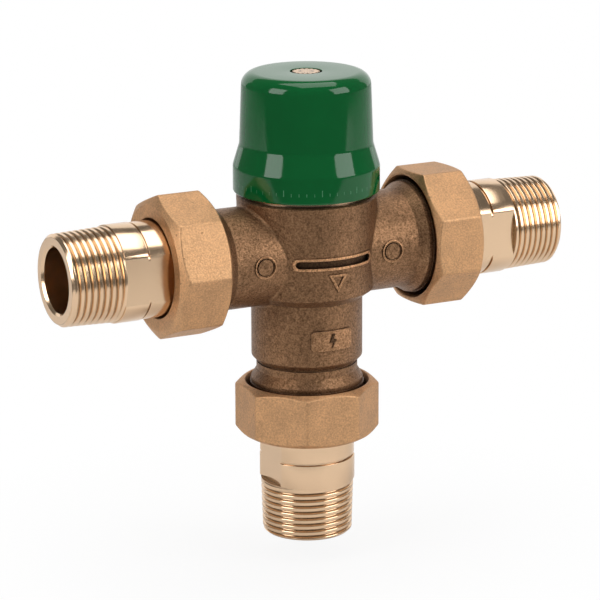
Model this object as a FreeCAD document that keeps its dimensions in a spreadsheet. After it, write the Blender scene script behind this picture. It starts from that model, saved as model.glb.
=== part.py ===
import FreeCAD, Part
import math
import os

import Sketcher

# Thermostatic mixing valve: hot inlet on -X, cold inlet on +X, mixed outlet on -Z, adjusting cap on +Z.
# Millimetres. The origin is the centre of the outlet's end face; most pieces on the stem line are
# drawn about the valve's centre, where the inlet axis crosses it, and pieces of a port are drawn
# from that port's pipe end (0) inwards along their own Z.

SIZES = {
    # overall
    "inlet_reach": 77.0,  # centre to the end of an inlet tailpiece
    "outlet_reach": 83.0,  # centre to the end of the outlet tailpiece
    # casting
    "rim_height": 16.3,
    "rim_radius": 19.8,
    "rim_chamfer": 0.6,
    "barrel_drop": 10.8,
    "barrel_foot_radius": 18.9,
    "shoulder_height": 2.3,
    "lower_radius": 15.8,
    "lower_drop": 30.4,
    "neck_radius": 14.4,
    "neck_slope": 1.5,
    "neck_line_depth": 0.35,
    "neck_line_width": 0.5,
    "arm_radius": 14.2,
    "collar_step": 0.35,
    "collar_length": 1.3,
    "collar_overlap": 0.2,
    "collar_flare": 2.5,
    "cast_blend": 1.0,
    "cast_round": 0.6,
    "slot_half_angle": 36.5,
    "slot_height": 2.4,
    "slot_depth": 0.8,
    "slot_lip": 0.5,
    "slot_lip_angle": 1.5,
    "slot_proud": 0.25,
    "disc_offset": 20.0,
    "disc_radius": 2.3,
    "disc_proud": 0.1,
    "disc_ring_width": 0.55,
    "disc_depth": 0.45,
    "plaque_half_angle": 23.0,
    "plaque_height": 5.8,
    "plaque_drop": 23.0,
    "plaque_proud": 0.45,
    "plaque_corner": 1.2,
    # water passages
    "bonnet_bore_radius": 15.5,
    "bonnet_bore_floor": 9.5,
    "gallery_radius": 13.0,
    "web_radius": 9.75,
    "web_half": 1.8,
    "gallery_floor": 9.8,
    "hot_seat_width": 0.85,
    "hot_port_height": 1.2,
    "mixing_radius": 11.3,
    "arm_bore_radius": 10.0,
    "arm_bore_stop": 15.2,
    "window_width": 14.0,
    "window_sill": 2.2,
    "window_height": 6.6,
    "cartridge_seat_width": 1.8,
    "cartridge_seat_depth": 1.5,
    # union: tailpiece, nut, gasket, strainer
    "thread_radius": 13.335,
    "thread_length": 15.8,
    "thread_chamfer": 1.1,
    "tail_collar_radius": 13.66,
    "tail_collar_length": 6.9,
    "tail_ring_width": 0.5,
    "tail_ring_depth": 0.35,
    "tail_stem_radius": 13.5,
    "tail_flats": 23.4,
    "tail_flat_length": 16.0,
    "tail_bore_radius": 9.1,
    "tail_bore_chamfer": 0.7,
    "tail_flange_clearance": 0.85,
    "tail_flange_thickness": 3.2,
    "nut_start": 29.3,
    "nut_lip": 3.0,
    "nut_length": 15.6,
    "nut_wall": 2.6,
    "nut_inner_chamfer": 0.85,
    "nut_outer_chamfer": 1.45,
    "nut_hole_clearance": 0.34,
    "nut_mouth_chamfer": 0.8,
    "union_thread_radius": 16.25,
    "union_thread_clearance": 0.2,
    "union_thread_chamfer": 0.8,
    "hot_nut_turn": 0.0,
    "cold_nut_turn": 23.5,
    "mixed_nut_turn": -27.0,
    "gasket_thickness": 2.0,
    "gasket_hole_margin": 0.5,
    "gasket_edge": 0.2,
    "strainer_rim_width": 1.3,
    "strainer_rim_thickness": 0.8,
    "strainer_clearance": 0.4,
    "strainer_length": 13.2,
    "strainer_wall": 0.6,
    "strainer_slots": 12,
    "strainer_slot_width": 1.4,
    "strainer_slot_length": 9.0,
    "seat_clearance": 0.2,
    # check cartridges
    "cartridge_clearance": 0.2,
    "cartridge_length": 18.0,
    "cartridge_seat_step": 2.0,
    "cartridge_port_length": 2.5,
    "cartridge_wall": 1.6,
    "cartridge_guide_length": 1.2,
    "cartridge_hub_radius": 2.9,
    "cartridge_arm_width": 1.6,
    "cartridge_seal_start": 5.0,
    "cartridge_seal_radius": 0.6,
    "poppet_clearance": 0.8,
    "poppet_thickness": 1.6,
    "poppet_nose_clearance": 0.5,
    "poppet_nose_length": 1.4,
    "poppet_stem_radius": 1.5,
    "poppet_stem_length": 14.4,
    "guide_clearance": 0.1,
    "check_spring_radius": 3.4,
    "check_spring_wire": 0.5,
    "check_spring_turns": 6,
    # bonnet
    "bonnet_thread_clearance": 0.15,
    "bonnet_nose_clearance": 0.4,
    "cold_seat_height": 7.4,
    "bonnet_flange_radius": 18.3,
    "bonnet_flange_thickness": 2.5,
    "bonnet_flats": 30.0,
    "bonnet_hex_height": 4.2,
    "bonnet_tower_radius": 10.6,
    "bonnet_tower_height": 19.2,
    "bonnet_roof": 28.0,
    "carrier_bore_radius": 8.1,
    "journal_radius": 5.0,
    "keyway_depth": 1.05,
    "key_width": 2.4,
    "bonnet_seal_ring_radius": 17.0,
    "bonnet_seal_radius": 0.7,
    # spindle and cap
    "running_clearance": 0.05,
    "spindle_thread_radius": 4.9,
    "spindle_thread_foot": 19.3,
    "spindle_flange_radius": 7.2,
    "spindle_flange_thickness": 2.0,
    "spindle_seal_height": 33.0,
    "spindle_seal_radius": 0.65,
    "spindle_clip_groove_radius": 4.2,
    "spindle_clip_radius": 7.0,
    "spindle_clip_thickness": 0.9,
    "spindle_clip_gap": 6.0,
    "spline_radius": 3.3,
    "spline_foot": 40.2,
    "spline_sink": 0.1,  # tip under the cap's top
    "spline_count": 20,
    "spline_groove_radius": 0.3,
    "spline_rib_radius": 0.2,
    "spline_clearance": 0.15,
    "cap_gap": 0.9,  # over the casting's rim
    "cap_skirt_radius": 20.67,
    "cap_skirt_height": 7.4,
    "cap_waist_height": 13.6,
    "cap_waist_radius": 18.8,
    "cap_height": 33.8,
    "cap_top_radius": 18.05,
    "cap_wall": 1.8,
    "cap_roof": 3.4,
    "cap_corner": 3.8,
    "cap_shoulder_blend": 2.6,
    "cap_foot_blend": 0.6,
    "cap_inner_corner": 2.0,
    "cap_hub_radius": 5.4,
    "cap_hub_foot": 41.0,
    "cap_recess_radius": 4.25,
    "cap_recess_depth": 0.7,
    "cap_rib_count": 6,
    "cap_rib_width": 1.4,
    # temperature override in the carrier
    "carrier_clearance": 0.1,
    "carrier_foot": 9.4,
    "carrier_top": 24.6,
    "carrier_roof": 18.4,
    "carrier_thread_clearance": 0.15,
    "carrier_wall": 1.4,
    "stop_ring_foot": 10.05,
    "stop_ring_thickness": 0.9,
    "stop_ring_grip": 0.55,
    "stop_ring_hole_radius": 4.6,
    "stop_ring_groove_clearance": 0.05,
    "stop_ring_gap": 5.0,
    "plunger_clearance": 0.3,
    "plunger_flange_thickness": 1.6,
    "plunger_boss_radius": 4.3,
    "plunger_boss_foot": 8.2,
    "plunger_stem_radius": 3.4,
    "plunger_stem_length": 2.4,
    "plunger_recess_depth": 1.2,
    "override_spring_radius": 5.2,
    "override_spring_wire": 1.2,
    "override_spring_turns": 3,
    # wax element and shuttle
    "rod_radius": 2.0,
    "rod_foot": -5.5,
    "rod_clearance": 0.06,
    "element_flange_radius": 5.5,
    "element_flange_thickness": 1.4,
    "element_neck_radius": 3.6,
    "element_neck_length": 3.0,
    "element_cup_radius": 4.6,
    "element_cup_length": 19.6,
    "element_cup_round": 2.0,
    "element_bore_length": 8.6,
    "shuttle_clearance": 0.1,
    "shuttle_wall": 1.4,
    "shuttle_travel": 1.6,
    "shuttle_ring_half": 2.6,
    "shuttle_ring_step": 0.95,
    "shuttle_seal_radius": 0.65,
    "shuttle_seal_gap": 0.07,
    "spider_height": 2.2,
    "spider_hub_wall": 0.95,
    "spider_arm_width": 1.8,
    "spring_seat_top": 17.0,
    "spring_seat_thickness": 1.6,
    "spring_seat_clearance": 0.15,
    "spring_seat_holes": 8,
    "spring_seat_hole_radius": 1.6,
    "spring_seat_hole_circle": 9.1,
    "seat_ring_groove_depth": 0.9,
    "seat_ring_thickness": 1.1,
    "seat_ring_width": 1.8,
    "seat_ring_gap": 7.0,
    "return_spring_share": 0.48,  # wire over the gap between the wax cup and the shuttle's ring
    "return_spring_clearance": 0.15,
    "return_spring_turns": 5,
}

OCTAGON_CORNER = 1 / math.cos(math.pi / 8)
HEXAGON_CORNER = 1 / math.cos(math.pi / 6)
BEVEL_SLOPE = math.tan(math.radians(30))

doc = FreeCAD.newDocument("MixingValve")
sheet = doc.addObject("Spreadsheet::Sheet", "Size")


class Length:
    """A length that carries its number and the sheet expression that gives it."""

    def __init__(self, value, text):
        self.value = value
        self.text = text

    def joined(self, other, sign, value):
        return Length(value, f"({self.text} {sign} {length(other).text})")

    def __add__(self, other):
        return self.joined(other, "+", self.value + length(other).value)

    def __sub__(self, other):
        return self.joined(other, "-", self.value - length(other).value)

    def __mul__(self, other):
        return self.joined(other, "*", self.value * length(other).value)

    def __truediv__(self, other):
        return self.joined(other, "/", self.value / length(other).value)

    def __radd__(self, other):
        return length(other) + self

    def __rsub__(self, other):
        return length(other) - self

    def __rmul__(self, other):
        return length(other) * self

    def __neg__(self):
        return length(0) - self


class Sizes:
    """The sheet's cells, read by name."""

    def __getattr__(self, name):
        return Length(SIZES[name], f"Size.{name}")


def length(value):
    return value if isinstance(value, Length) else Length(float(value), repr(float(value)))


S = Sizes()


def fill_sheet():
    for row, (name, value) in enumerate(SIZES.items(), start=1):
        sheet.set(f"A{row}", name)
        sheet.set(f"B{row}", str(value))
        sheet.setAlias(f"B{row}", name)
    doc.recompute()


def tie(thing, prop, value):
    """Bind one property, or one sketch constraint, to the sheet."""
    thing.setExpression(prop, length(value).text)


# ---------------------------------------------------------------- places

PIECES = []


def put(piece, x=0, y=0, z=0, rotation=None):
    """Bind a piece's place to the sheet, with an optional fixed turn."""
    if rotation is not None:
        piece.Placement = FreeCAD.Placement(FreeCAD.Vector(), rotation)
    for letter, value in zip("xyz", (x, y, z)):
        if isinstance(value, Length):
            tie(piece, f"Placement.Base.{letter}", value)
    PIECES.append(piece)
    return piece


def at_centre(piece):
    return put(piece, z=S.outlet_reach)


def about_z(degrees):
    return FreeCAD.Rotation(FreeCAD.Vector(0, 0, 1), degrees)


def about_y(degrees):
    return FreeCAD.Rotation(FreeCAD.Vector(0, 1, 0), degrees)


def at_port(piece, port, turn=0):
    """Set a piece drawn from the pipe end inwards onto its port, turned about the port's axis."""
    if port == "hot":
        return put(piece, x=-S.inlet_reach, z=S.outlet_reach, rotation=about_y(90) * about_z(turn))
    if port == "cold":
        return put(piece, x=S.inlet_reach, z=S.outlet_reach, rotation=about_y(-90) * about_z(turn))
    return put(piece, rotation=about_z(turn))


# ---------------------------------------------------------------- sketches and features


def new_body(label):
    body = doc.addObject("PartDesign::Body", label)
    body.Label = label
    return body


def new_sketch(body, plane, name, lift=None):
    """A sketch on one of the body's own planes, lifted off it where asked."""
    sketch = body.newObject("Sketcher::SketchObject", name)
    origin_plane = next(f for f in body.Origin.OriginFeatures if f.Role == plane)
    sketch.AttachmentSupport = (origin_plane, [""])
    sketch.MapMode = "FlatFace"
    if lift is not None:
        tie(sketch, "AttachmentOffset.Base.z", lift)
    return sketch


def pin_point(sketch, geometry, point, x, y):
    for kind, value in (("DistanceX", length(x)), ("DistanceY", length(y))):
        constraint = sketch.addConstraint(
            Sketcher.Constraint(kind, -1, 1, geometry, point, value.value)
        )
        tie(sketch, f"Constraints[{constraint}]", value)


def loop(sketch, corners):
    """A closed loop of straight runs whose corners are tied to the sheet."""
    spots = [FreeCAD.Vector(length(x).value, length(y).value, 0) for x, y in corners]
    count = len(spots)
    first = sketch.GeometryCount
    for index in range(count):
        sketch.addGeometry(Part.LineSegment(spots[index], spots[(index + 1) % count]), False)
    for index in range(count):
        following = first + (index + 1) % count
        sketch.addConstraint(Sketcher.Constraint("Coincident", first + index, 2, following, 1))
    for index, (x, y) in enumerate(corners):
        pin_point(sketch, first + index, 1, x, y)


def rectangle(sketch, low_x, high_x, low_y, high_y):
    loop(sketch, [(low_x, low_y), (high_x, low_y), (high_x, high_y), (low_x, high_y)])


def circle(sketch, x, y, radius):
    centre = FreeCAD.Vector(length(x).value, length(y).value, 0)
    ring = sketch.addGeometry(
        Part.Circle(centre, FreeCAD.Vector(0, 0, 1), length(radius).value), False
    )
    constraint = sketch.addConstraint(Sketcher.Constraint("Radius", ring, length(radius).value))
    tie(sketch, f"Constraints[{constraint}]", radius)
    pin_point(sketch, ring, 3, x, y)


def polygon(sketch, sides, across, corner_factor):
    """A regular polygon with a corner pointing to -Y."""
    corners = []
    for index in range(sides):
        angle = 2 * math.pi * index / sides - math.pi / 2
        reach = across / 2 * corner_factor
        corners.append((reach * round(math.cos(angle), 9), reach * round(math.sin(angle), 9)))
    loop(sketch, corners)


def feature(body, kind, sketch, name, **settings):
    """A sketch-based feature, with each setting bound to the sheet where it is a length."""
    made = body.newObject(f"PartDesign::{kind}", name)
    made.Profile = sketch
    for prop, value in settings.items():
        if isinstance(value, Length):
            tie(made, prop, value)
        else:
            setattr(made, prop, value)
    sketch.Visibility = False
    return made


def turn(body, kind, sketch, name, axis="V_Axis", **settings):
    return feature(body, kind, sketch, name, ReferenceAxis=(sketch, [axis]), **settings)


def turned(label, *loops):
    """A body turned about Z from closed loops of (radius, height)."""
    body = new_body(label)
    sketch = new_sketch(body, "XZ_Plane", "Section")
    for corners in loops:
        loop(sketch, corners)
    turn(body, "Revolution", sketch, "Turned", Angle=360.0)
    return body


def ring_section(inner, outer, low, high):
    return [(inner, low), (outer, low), (outer, high), (inner, high)]


def cut_through(body, sketch, name, **settings):
    """A pocket, checked to have taken material away."""
    doc.recompute()
    before = body.Shape.Volume
    made = feature(body, "Pocket", sketch, name, **settings)
    doc.recompute()
    if body.Shape.Volume > before - 1e-3:
        raise RuntimeError(f"{body.Label}: {name} cut nothing")
    return made


def groove(body, sketch, name, axis="V_Axis", **settings):
    """A turned cut, checked to have taken material away."""
    doc.recompute()
    before = body.Shape.Volume
    settings.setdefault("Angle", 360.0)
    made = turn(body, "Groove", sketch, name, axis, **settings)
    doc.recompute()
    if body.Shape.Volume > before - 1e-3:
        raise RuntimeError(f"{body.Label}: {name} cut nothing")
    return made


def around(body, source, name, count):
    """Repeat a feature round Z."""
    pattern = body.newObject("PartDesign::PolarPattern", name)
    pattern.Originals = [source]
    z_axis = next(f for f in body.Origin.OriginFeatures if f.Role == "Z_Axis")
    pattern.Axis = (z_axis, [""])
    pattern.Angle = 360.0
    tie(pattern, "Occurrences", count)
    body.Tip = pattern
    return pattern


def circles_at(body, spots):
    """Names of the body's round edges about Z at the given (radius, height) spots."""
    doc.recompute()
    names = []
    for number, edge in enumerate(body.Shape.Edges, start=1):
        if not isinstance(edge.Curve, Part.Circle):
            continue
        for radius, height in spots:
            same_radius = abs(edge.Curve.Radius - radius.value) < 1e-3
            same_height = abs(edge.Curve.Center.z - height.value) < 1e-3
            on_axis = math.hypot(edge.Curve.Center.x, edge.Curve.Center.y) < 1e-3
            if same_radius and same_height and on_axis:
                names.append(f"Edge{number}")
    if not names:
        raise RuntimeError(f"{body.Label}: no edge to dress")
    return names


def round_off(body, name, radius, spots):
    """Round the body's turned edges at the given (radius, height) spots."""
    edges = circles_at(body, spots)
    tip = body.Tip
    made = body.newObject("PartDesign::Fillet", name)
    made.Base = (tip, edges)
    tie(made, "Radius", radius)
    doc.recompute()


def coil(label, mean_radius, wire, turns, low, high):
    """A compression spring between two flat faces."""
    body = new_body(label)
    sketch = new_sketch(body, "XZ_Plane", "Wire")
    circle(sketch, mean_radius, low + wire / 2, wire / 2)
    helix = turn(body, "AdditiveHelix", sketch, "Coils")
    helix.Mode = "height-turns-angle"
    tie(helix, "Height", high - low - wire)
    tie(helix, "Turns", turns)
    return body


def seal_ring(label, ring_radius, section_radius, height):
    body = new_body(label)
    sketch = new_sketch(body, "XZ_Plane", "Section")
    circle(sketch, ring_radius, height, section_radius)
    turn(body, "Revolution", sketch, "Turned", Angle=360.0)
    return body


def split_ring(label, inner, outer, low, high, gap):
    """A retaining ring with its gap towards +X."""
    body = turned(label, ring_section(inner, outer, low, high))
    sketch = new_sketch(body, "XY_Plane", "Gap", lift=low)
    rectangle(sketch, length(0), outer + 1, -gap / 2, gap / 2)
    cut_through(body, sketch, "GapCut", Length=high - low, Reversed=True)
    return body


# ---------------------------------------------------------------- places and radii from the sizes

# From a pipe end inwards.
TAIL_FLANGE = S.nut_start + S.nut_lip
GASKET_START = TAIL_FLANGE + S.tail_flange_thickness
UNION_STACK = GASKET_START + S.gasket_thickness
NUT_END = S.nut_start + S.nut_length
CHECK_SEAT = UNION_STACK + S.cartridge_port_length
CHECK_GUIDE = UNION_STACK + S.cartridge_length - S.cartridge_guide_length

# About the valve's centre.
INLET_FACE = S.inlet_reach - UNION_STACK
OUTLET_FACE = S.outlet_reach - UNION_STACK
STOP_RING_TOP = S.stop_ring_foot + S.stop_ring_thickness
ROD_TOP = S.plunger_boss_foot + S.plunger_recess_depth
SPIDER_FOOT = -S.shuttle_ring_half
SPIDER_TOP = SPIDER_FOOT + S.spider_height
SHUTTLE_RADIUS = S.web_radius - S.shuttle_clearance
SHUTTLE_BORE_RADIUS = SHUTTLE_RADIUS - S.shuttle_wall
SHUTTLE_RING_RADIUS = SHUTTLE_BORE_RADIUS - S.shuttle_ring_step
RETURN_WIRE = (SHUTTLE_RING_RADIUS - S.element_cup_radius) * S.return_spring_share
SEAT_RING_TOP = -S.spring_seat_top - S.spring_seat_thickness - S.stop_ring_groove_clearance
SEAT_RING_FOOT = SEAT_RING_TOP - S.seat_ring_thickness
SEAT_GROOVE_RADIUS = S.mixing_radius + S.seat_ring_groove_depth
SPINDLE_RADIUS = S.journal_radius - S.running_clearance
KEYWAY_RADIUS = S.carrier_bore_radius + S.keyway_depth
BONNET_TOP = S.rim_height + S.bonnet_flange_thickness + S.bonnet_tower_height
CLIP_FOOT = BONNET_TOP + 2 * S.running_clearance


CAP_FOOT = S.rim_height + S.cap_gap
CAP_SKIRT_TOP = CAP_FOOT + S.cap_skirt_height
CAP_WAIST = CAP_FOOT + S.cap_waist_height
CAP_TOP = CAP_FOOT + S.cap_height
SPLINE_TOP = CAP_TOP - S.spline_sink

# Radii that follow from the fits.
UNION_BORE = S.union_thread_radius + S.union_thread_clearance
COLLAR_RADIUS = S.union_thread_radius - S.collar_step
TAIL_FLANGE_RADIUS = UNION_BORE - S.tail_flange_clearance
GASKET_RADIUS = TAIL_FLANGE_RADIUS - S.gasket_edge
GASKET_HOLE_RADIUS = S.tail_bore_radius + S.gasket_hole_margin
NUT_HOLE_RADIUS = S.tail_collar_radius + S.nut_hole_clearance
NUT_FLATS = 2 * (UNION_BORE + S.nut_wall)
NUT_INNER_CHAMFER_RADIUS = NUT_FLATS / 2 - S.nut_inner_chamfer
NUT_OUTER_CHAMFER_RADIUS = NUT_FLATS / 2 - S.nut_outer_chamfer
STRAINER_RIM_RADIUS = S.tail_bore_radius + S.strainer_rim_width
STRAINER_RADIUS = S.tail_bore_radius - S.strainer_clearance

CARTRIDGE_SEAT_RADIUS = S.arm_bore_radius + S.cartridge_seat_width
CARTRIDGE_RADIUS = S.arm_bore_radius - S.cartridge_clearance
CARTRIDGE_CHAMBER_RADIUS = CARTRIDGE_RADIUS - S.cartridge_wall
CARTRIDGE_PORT_RADIUS = CARTRIDGE_CHAMBER_RADIUS - S.cartridge_seat_step
POPPET_RADIUS = CARTRIDGE_CHAMBER_RADIUS - S.poppet_clearance
POPPET_NOSE_RADIUS = CARTRIDGE_PORT_RADIUS - S.poppet_nose_clearance

BONNET_NOSE_RADIUS = S.gallery_radius - S.bonnet_nose_clearance
CARRIER_RADIUS = S.carrier_bore_radius - S.carrier_clearance
SPRING_CHAMBER_RADIUS = CARRIER_RADIUS - S.carrier_wall
STOP_RING_RADIUS = SPRING_CHAMBER_RADIUS + S.stop_ring_grip
PLUNGER_FLANGE_RADIUS = SPRING_CHAMBER_RADIUS - S.plunger_clearance
HOT_PORT_RADIUS = S.web_radius - S.hot_seat_width


# ---------------------------------------------------------------- valve body


def port_profile(reach, face, neck_radius):
    """(distance, radius) from where a neck starts to flare out to its threaded collar's face."""
    collar_end = reach - NUT_END + S.collar_overlap
    flare_end = collar_end - S.collar_length
    return [
        (flare_end - S.collar_flare, neck_radius),
        (flare_end, COLLAR_RADIUS),
        (collar_end, COLLAR_RADIUS),
        (collar_end, S.union_thread_radius),
        (face - S.union_thread_chamfer, S.union_thread_radius),
        (face, S.union_thread_radius - S.union_thread_chamfer),
    ]


def barrel(body):
    """The upright part: drafted upper barrel, straight lower barrel, neck and outlet collar."""
    sketch = new_sketch(body, "XZ_Plane", "BarrelSection")
    neck_top = -S.lower_drop - S.neck_slope
    line_foot = neck_top - S.neck_line_width
    line_radius = S.neck_radius - S.neck_line_depth
    outlet = [(radius, -far) for far, radius in port_profile(S.outlet_reach, OUTLET_FACE, S.neck_radius)]
    corners = [
        (length(0), S.rim_height),
        (S.rim_radius - S.rim_chamfer, S.rim_height),
        (S.rim_radius, S.rim_height - S.rim_chamfer),
        (S.barrel_foot_radius, -S.barrel_drop),
        (S.lower_radius, -S.barrel_drop - S.shoulder_height),
        (S.lower_radius, -S.lower_drop),
        (S.neck_radius, neck_top),
        (line_radius, neck_top),
        (line_radius, line_foot),
        (S.neck_radius, line_foot),
        *outlet,
        (length(0), -OUTLET_FACE),
    ]
    loop(sketch, corners)
    turn(body, "Revolution", sketch, "Barrel", Angle=360.0)
    doc.recompute()
    round_off(body, "LowerRound", S.cast_round, [(S.lower_radius, -S.lower_drop)])


def arms(body):
    """Both inlet arms, turned about X as one bar through the barrel."""
    sketch = new_sketch(body, "XZ_Plane", "ArmSection")
    inlet = port_profile(S.inlet_reach, INLET_FACE, S.arm_radius)
    corners = [(INLET_FACE, length(0))]
    corners += inlet[::-1]
    corners += [(-far, radius) for far, radius in inlet]
    corners += [(-INLET_FACE, length(0))]
    loop(sketch, corners)
    turn(body, "Revolution", sketch, "Arms", "H_Axis", Angle=360.0)
    doc.recompute()


def blend_arms(body):
    """Round the cast seam where each arm leaves the barrel, which is the only curved-in-space edge."""
    names = []
    for number, edge in enumerate(body.Shape.Edges, start=1):
        if isinstance(edge.Curve, (Part.Line, Part.Circle)):
            continue
        names.append(f"Edge{number}")
    tip = body.Tip
    made = body.newObject("PartDesign::Fillet", "CastBlend")
    made.Base = (tip, names)
    tie(made, "Radius", S.cast_blend)
    doc.recompute()


def stem_bore(body):
    """Bonnet thread, cold gallery, centre web, hot gallery, hot seat, mixing chamber and outlet."""
    sketch = new_sketch(body, "XZ_Plane", "StemBoreSection")
    above = S.rim_height + 1
    below = -OUTLET_FACE - 1
    hot_port_foot = -S.gallery_floor - S.hot_port_height
    ring_top = SEAT_RING_TOP + S.stop_ring_groove_clearance
    ring_foot = SEAT_RING_FOOT - S.stop_ring_groove_clearance
    corners = [
        (length(0), above),
        (S.bonnet_bore_radius, above),
        (S.bonnet_bore_radius, S.bonnet_bore_floor),
        (S.gallery_radius, S.bonnet_bore_floor),
        (S.gallery_radius, S.web_half),
        (S.web_radius, S.web_half),
        (S.web_radius, -S.web_half),
        (S.gallery_radius, -S.web_half),
        (S.gallery_radius, -S.gallery_floor),
        (HOT_PORT_RADIUS, -S.gallery_floor),
        (HOT_PORT_RADIUS, hot_port_foot),
        (S.mixing_radius, hot_port_foot),
        (S.mixing_radius, ring_top),
        (SEAT_GROOVE_RADIUS, ring_top),
        (SEAT_GROOVE_RADIUS, ring_foot),
        (S.mixing_radius, ring_foot),
        (S.mixing_radius, below),
        (length(0), below),
    ]
    loop(sketch, corners)
    groove(body, sketch, "StemBore")


def inlet_bores(body):
    """Each arm is bored for its check cartridge and stops short of the galleries."""
    sketch = new_sketch(body, "XZ_Plane", "InletBoreSection")
    seat = INLET_FACE - S.cartridge_seat_depth
    outside = INLET_FACE + 1
    profile = [
        (S.arm_bore_stop, length(0)),
        (S.arm_bore_stop, S.arm_bore_radius),
        (seat, S.arm_bore_radius),
        (seat, CARTRIDGE_SEAT_RADIUS),
        (outside, CARTRIDGE_SEAT_RADIUS),
        (outside, length(0)),
    ]
    loop(sketch, profile)
    loop(sketch, [(-far, radius) for far, radius in profile])
    groove(body, sketch, "InletBores", "H_Axis")


def gallery_window(body, name, low, high, towards_cold):
    """The cored way from an arm's bore to its own gallery."""
    sketch = new_sketch(body, "YZ_Plane", f"{name}Outline")
    rectangle(sketch, -S.window_width / 2, S.window_width / 2, low, high)
    cut_through(body, sketch, name, Length=S.arm_bore_stop + 1, Reversed=towards_cold)


def marking_slot(body):
    """A sunk slot with a cast lip round the front of the barrel, left bare."""
    face = (S.rim_radius + S.barrel_foot_radius) / 2
    lip = S.slot_height / 2 + S.slot_lip
    frame = new_sketch(body, "YZ_Plane", "SlotLipSection")
    rectangle(frame, -face - S.slot_proud, -face + S.slot_depth, -lip, lip)
    wide = 2 * S.slot_half_angle + 2 * S.slot_lip_angle
    turn(body, "Revolution", frame, "SlotLip", Angle=wide, Midplane=True)
    sunk = new_sketch(body, "YZ_Plane", "SlotSection")
    rectangle(sunk, -face - 1, -face + S.slot_depth, -S.slot_height / 2, S.slot_height / 2)
    groove(body, sunk, "Slot", Angle=2 * S.slot_half_angle, Midplane=True)


def arm_disc(body, name, place):
    """A cast disc in a ring-shaped recess on the front of an arm."""
    ring = new_sketch(body, "XZ_Plane", f"{name}RingOutline", lift=S.arm_radius - S.disc_depth)
    circle(ring, place, length(0), S.disc_radius + S.disc_ring_width)
    cut_through(body, ring, f"{name}Ring", Length=S.disc_depth + 1, Reversed=True)
    disc = new_sketch(body, "XZ_Plane", f"{name}DiscOutline", lift=S.arm_radius - 1)
    circle(disc, place, length(0), S.disc_radius)
    feature(body, "Pad", disc, f"{name}Disc", Length=S.disc_proud + 1)
    doc.recompute()


def plaque(body):
    """A bare cast plaque, curved with the lower barrel."""
    low = -S.plaque_drop - S.plaque_height / 2
    high = -S.plaque_drop + S.plaque_height / 2
    sketch = new_sketch(body, "YZ_Plane", "PlaqueSection")
    rectangle(sketch, -S.lower_radius - S.plaque_proud, -S.lower_radius + 1, low, high)
    turn(body, "Revolution", sketch, "Plaque", Angle=2 * S.plaque_half_angle, Midplane=True)
    doc.recompute()
    corners = []
    for number, edge in enumerate(body.Shape.Edges, start=1):
        if not isinstance(edge.Curve, Part.Line):
            continue
        radii = sorted(math.hypot(v.Point.x, v.Point.y) for v in edge.Vertexes)
        level = {round(v.Point.z, 3) for v in edge.Vertexes}
        across_face = abs(radii[1] - (S.lower_radius + S.plaque_proud).value) < 1e-3
        if across_face and len(level) == 1 and abs(radii[0] - S.lower_radius.value) < 1e-3:
            corners.append(f"Edge{number}")
    tip = body.Tip
    made = body.newObject("PartDesign::Fillet", "PlaqueCorners")
    made.Base = (tip, corners)
    tie(made, "Radius", S.plaque_corner)
    doc.recompute()


def valve_body():
    body = new_body("valve_body")
    barrel(body)
    arms(body)
    blend_arms(body)
    marking_slot(body)
    arm_disc(body, "Hot", -S.disc_offset)
    arm_disc(body, "Cold", S.disc_offset)
    plaque(body)
    stem_bore(body)
    inlet_bores(body)
    sill = S.window_sill
    top = S.window_sill + S.window_height
    gallery_window(body, "ColdWindow", sill, top, True)
    gallery_window(body, "HotWindow", -top, -sill, False)
    at_centre(body)


# ---------------------------------------------------------------- union pieces


def tailpiece(port, turn_degrees):
    """Pipe-threaded tail with two wrench flats; the thread itself stays plain here."""
    ring_start = S.thread_length + S.tail_collar_length
    ring_end = ring_start + S.tail_ring_width
    ring_radius = S.tail_stem_radius - S.tail_ring_depth
    recess = GASKET_START - S.strainer_rim_thickness
    body = turned(
        f"{port}_tailpiece",
        [
            (S.tail_bore_radius + S.tail_bore_chamfer, length(0)),
            (S.thread_radius - S.thread_chamfer / 2, length(0)),
            (S.thread_radius, S.thread_chamfer),
            (S.thread_radius, S.thread_length),
            (S.tail_collar_radius, S.thread_length),
            (S.tail_collar_radius, ring_start),
            (ring_radius, ring_start),
            (ring_radius, ring_end),
            (S.tail_stem_radius, ring_end),
            (S.tail_stem_radius, TAIL_FLANGE),
            (TAIL_FLANGE_RADIUS, TAIL_FLANGE),
            (TAIL_FLANGE_RADIUS, GASKET_START),
            (STRAINER_RIM_RADIUS + S.seat_clearance, GASKET_START),
            (STRAINER_RIM_RADIUS + S.seat_clearance, recess),
            (S.tail_bore_radius, recess),
            (S.tail_bore_radius, S.tail_bore_chamfer),
        ],
    )
    flats = new_sketch(body, "XY_Plane", "FlatsOutline", lift=S.thread_length)
    outside = TAIL_FLANGE_RADIUS + 1
    for low, high in ((S.tail_flats / 2, outside), (-outside, -S.tail_flats / 2)):
        rectangle(flats, -outside, outside, low, high)
    cut_through(body, flats, "Flats", Length=S.tail_flat_length, Reversed=True)
    at_port(body, port, turn_degrees)


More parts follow.
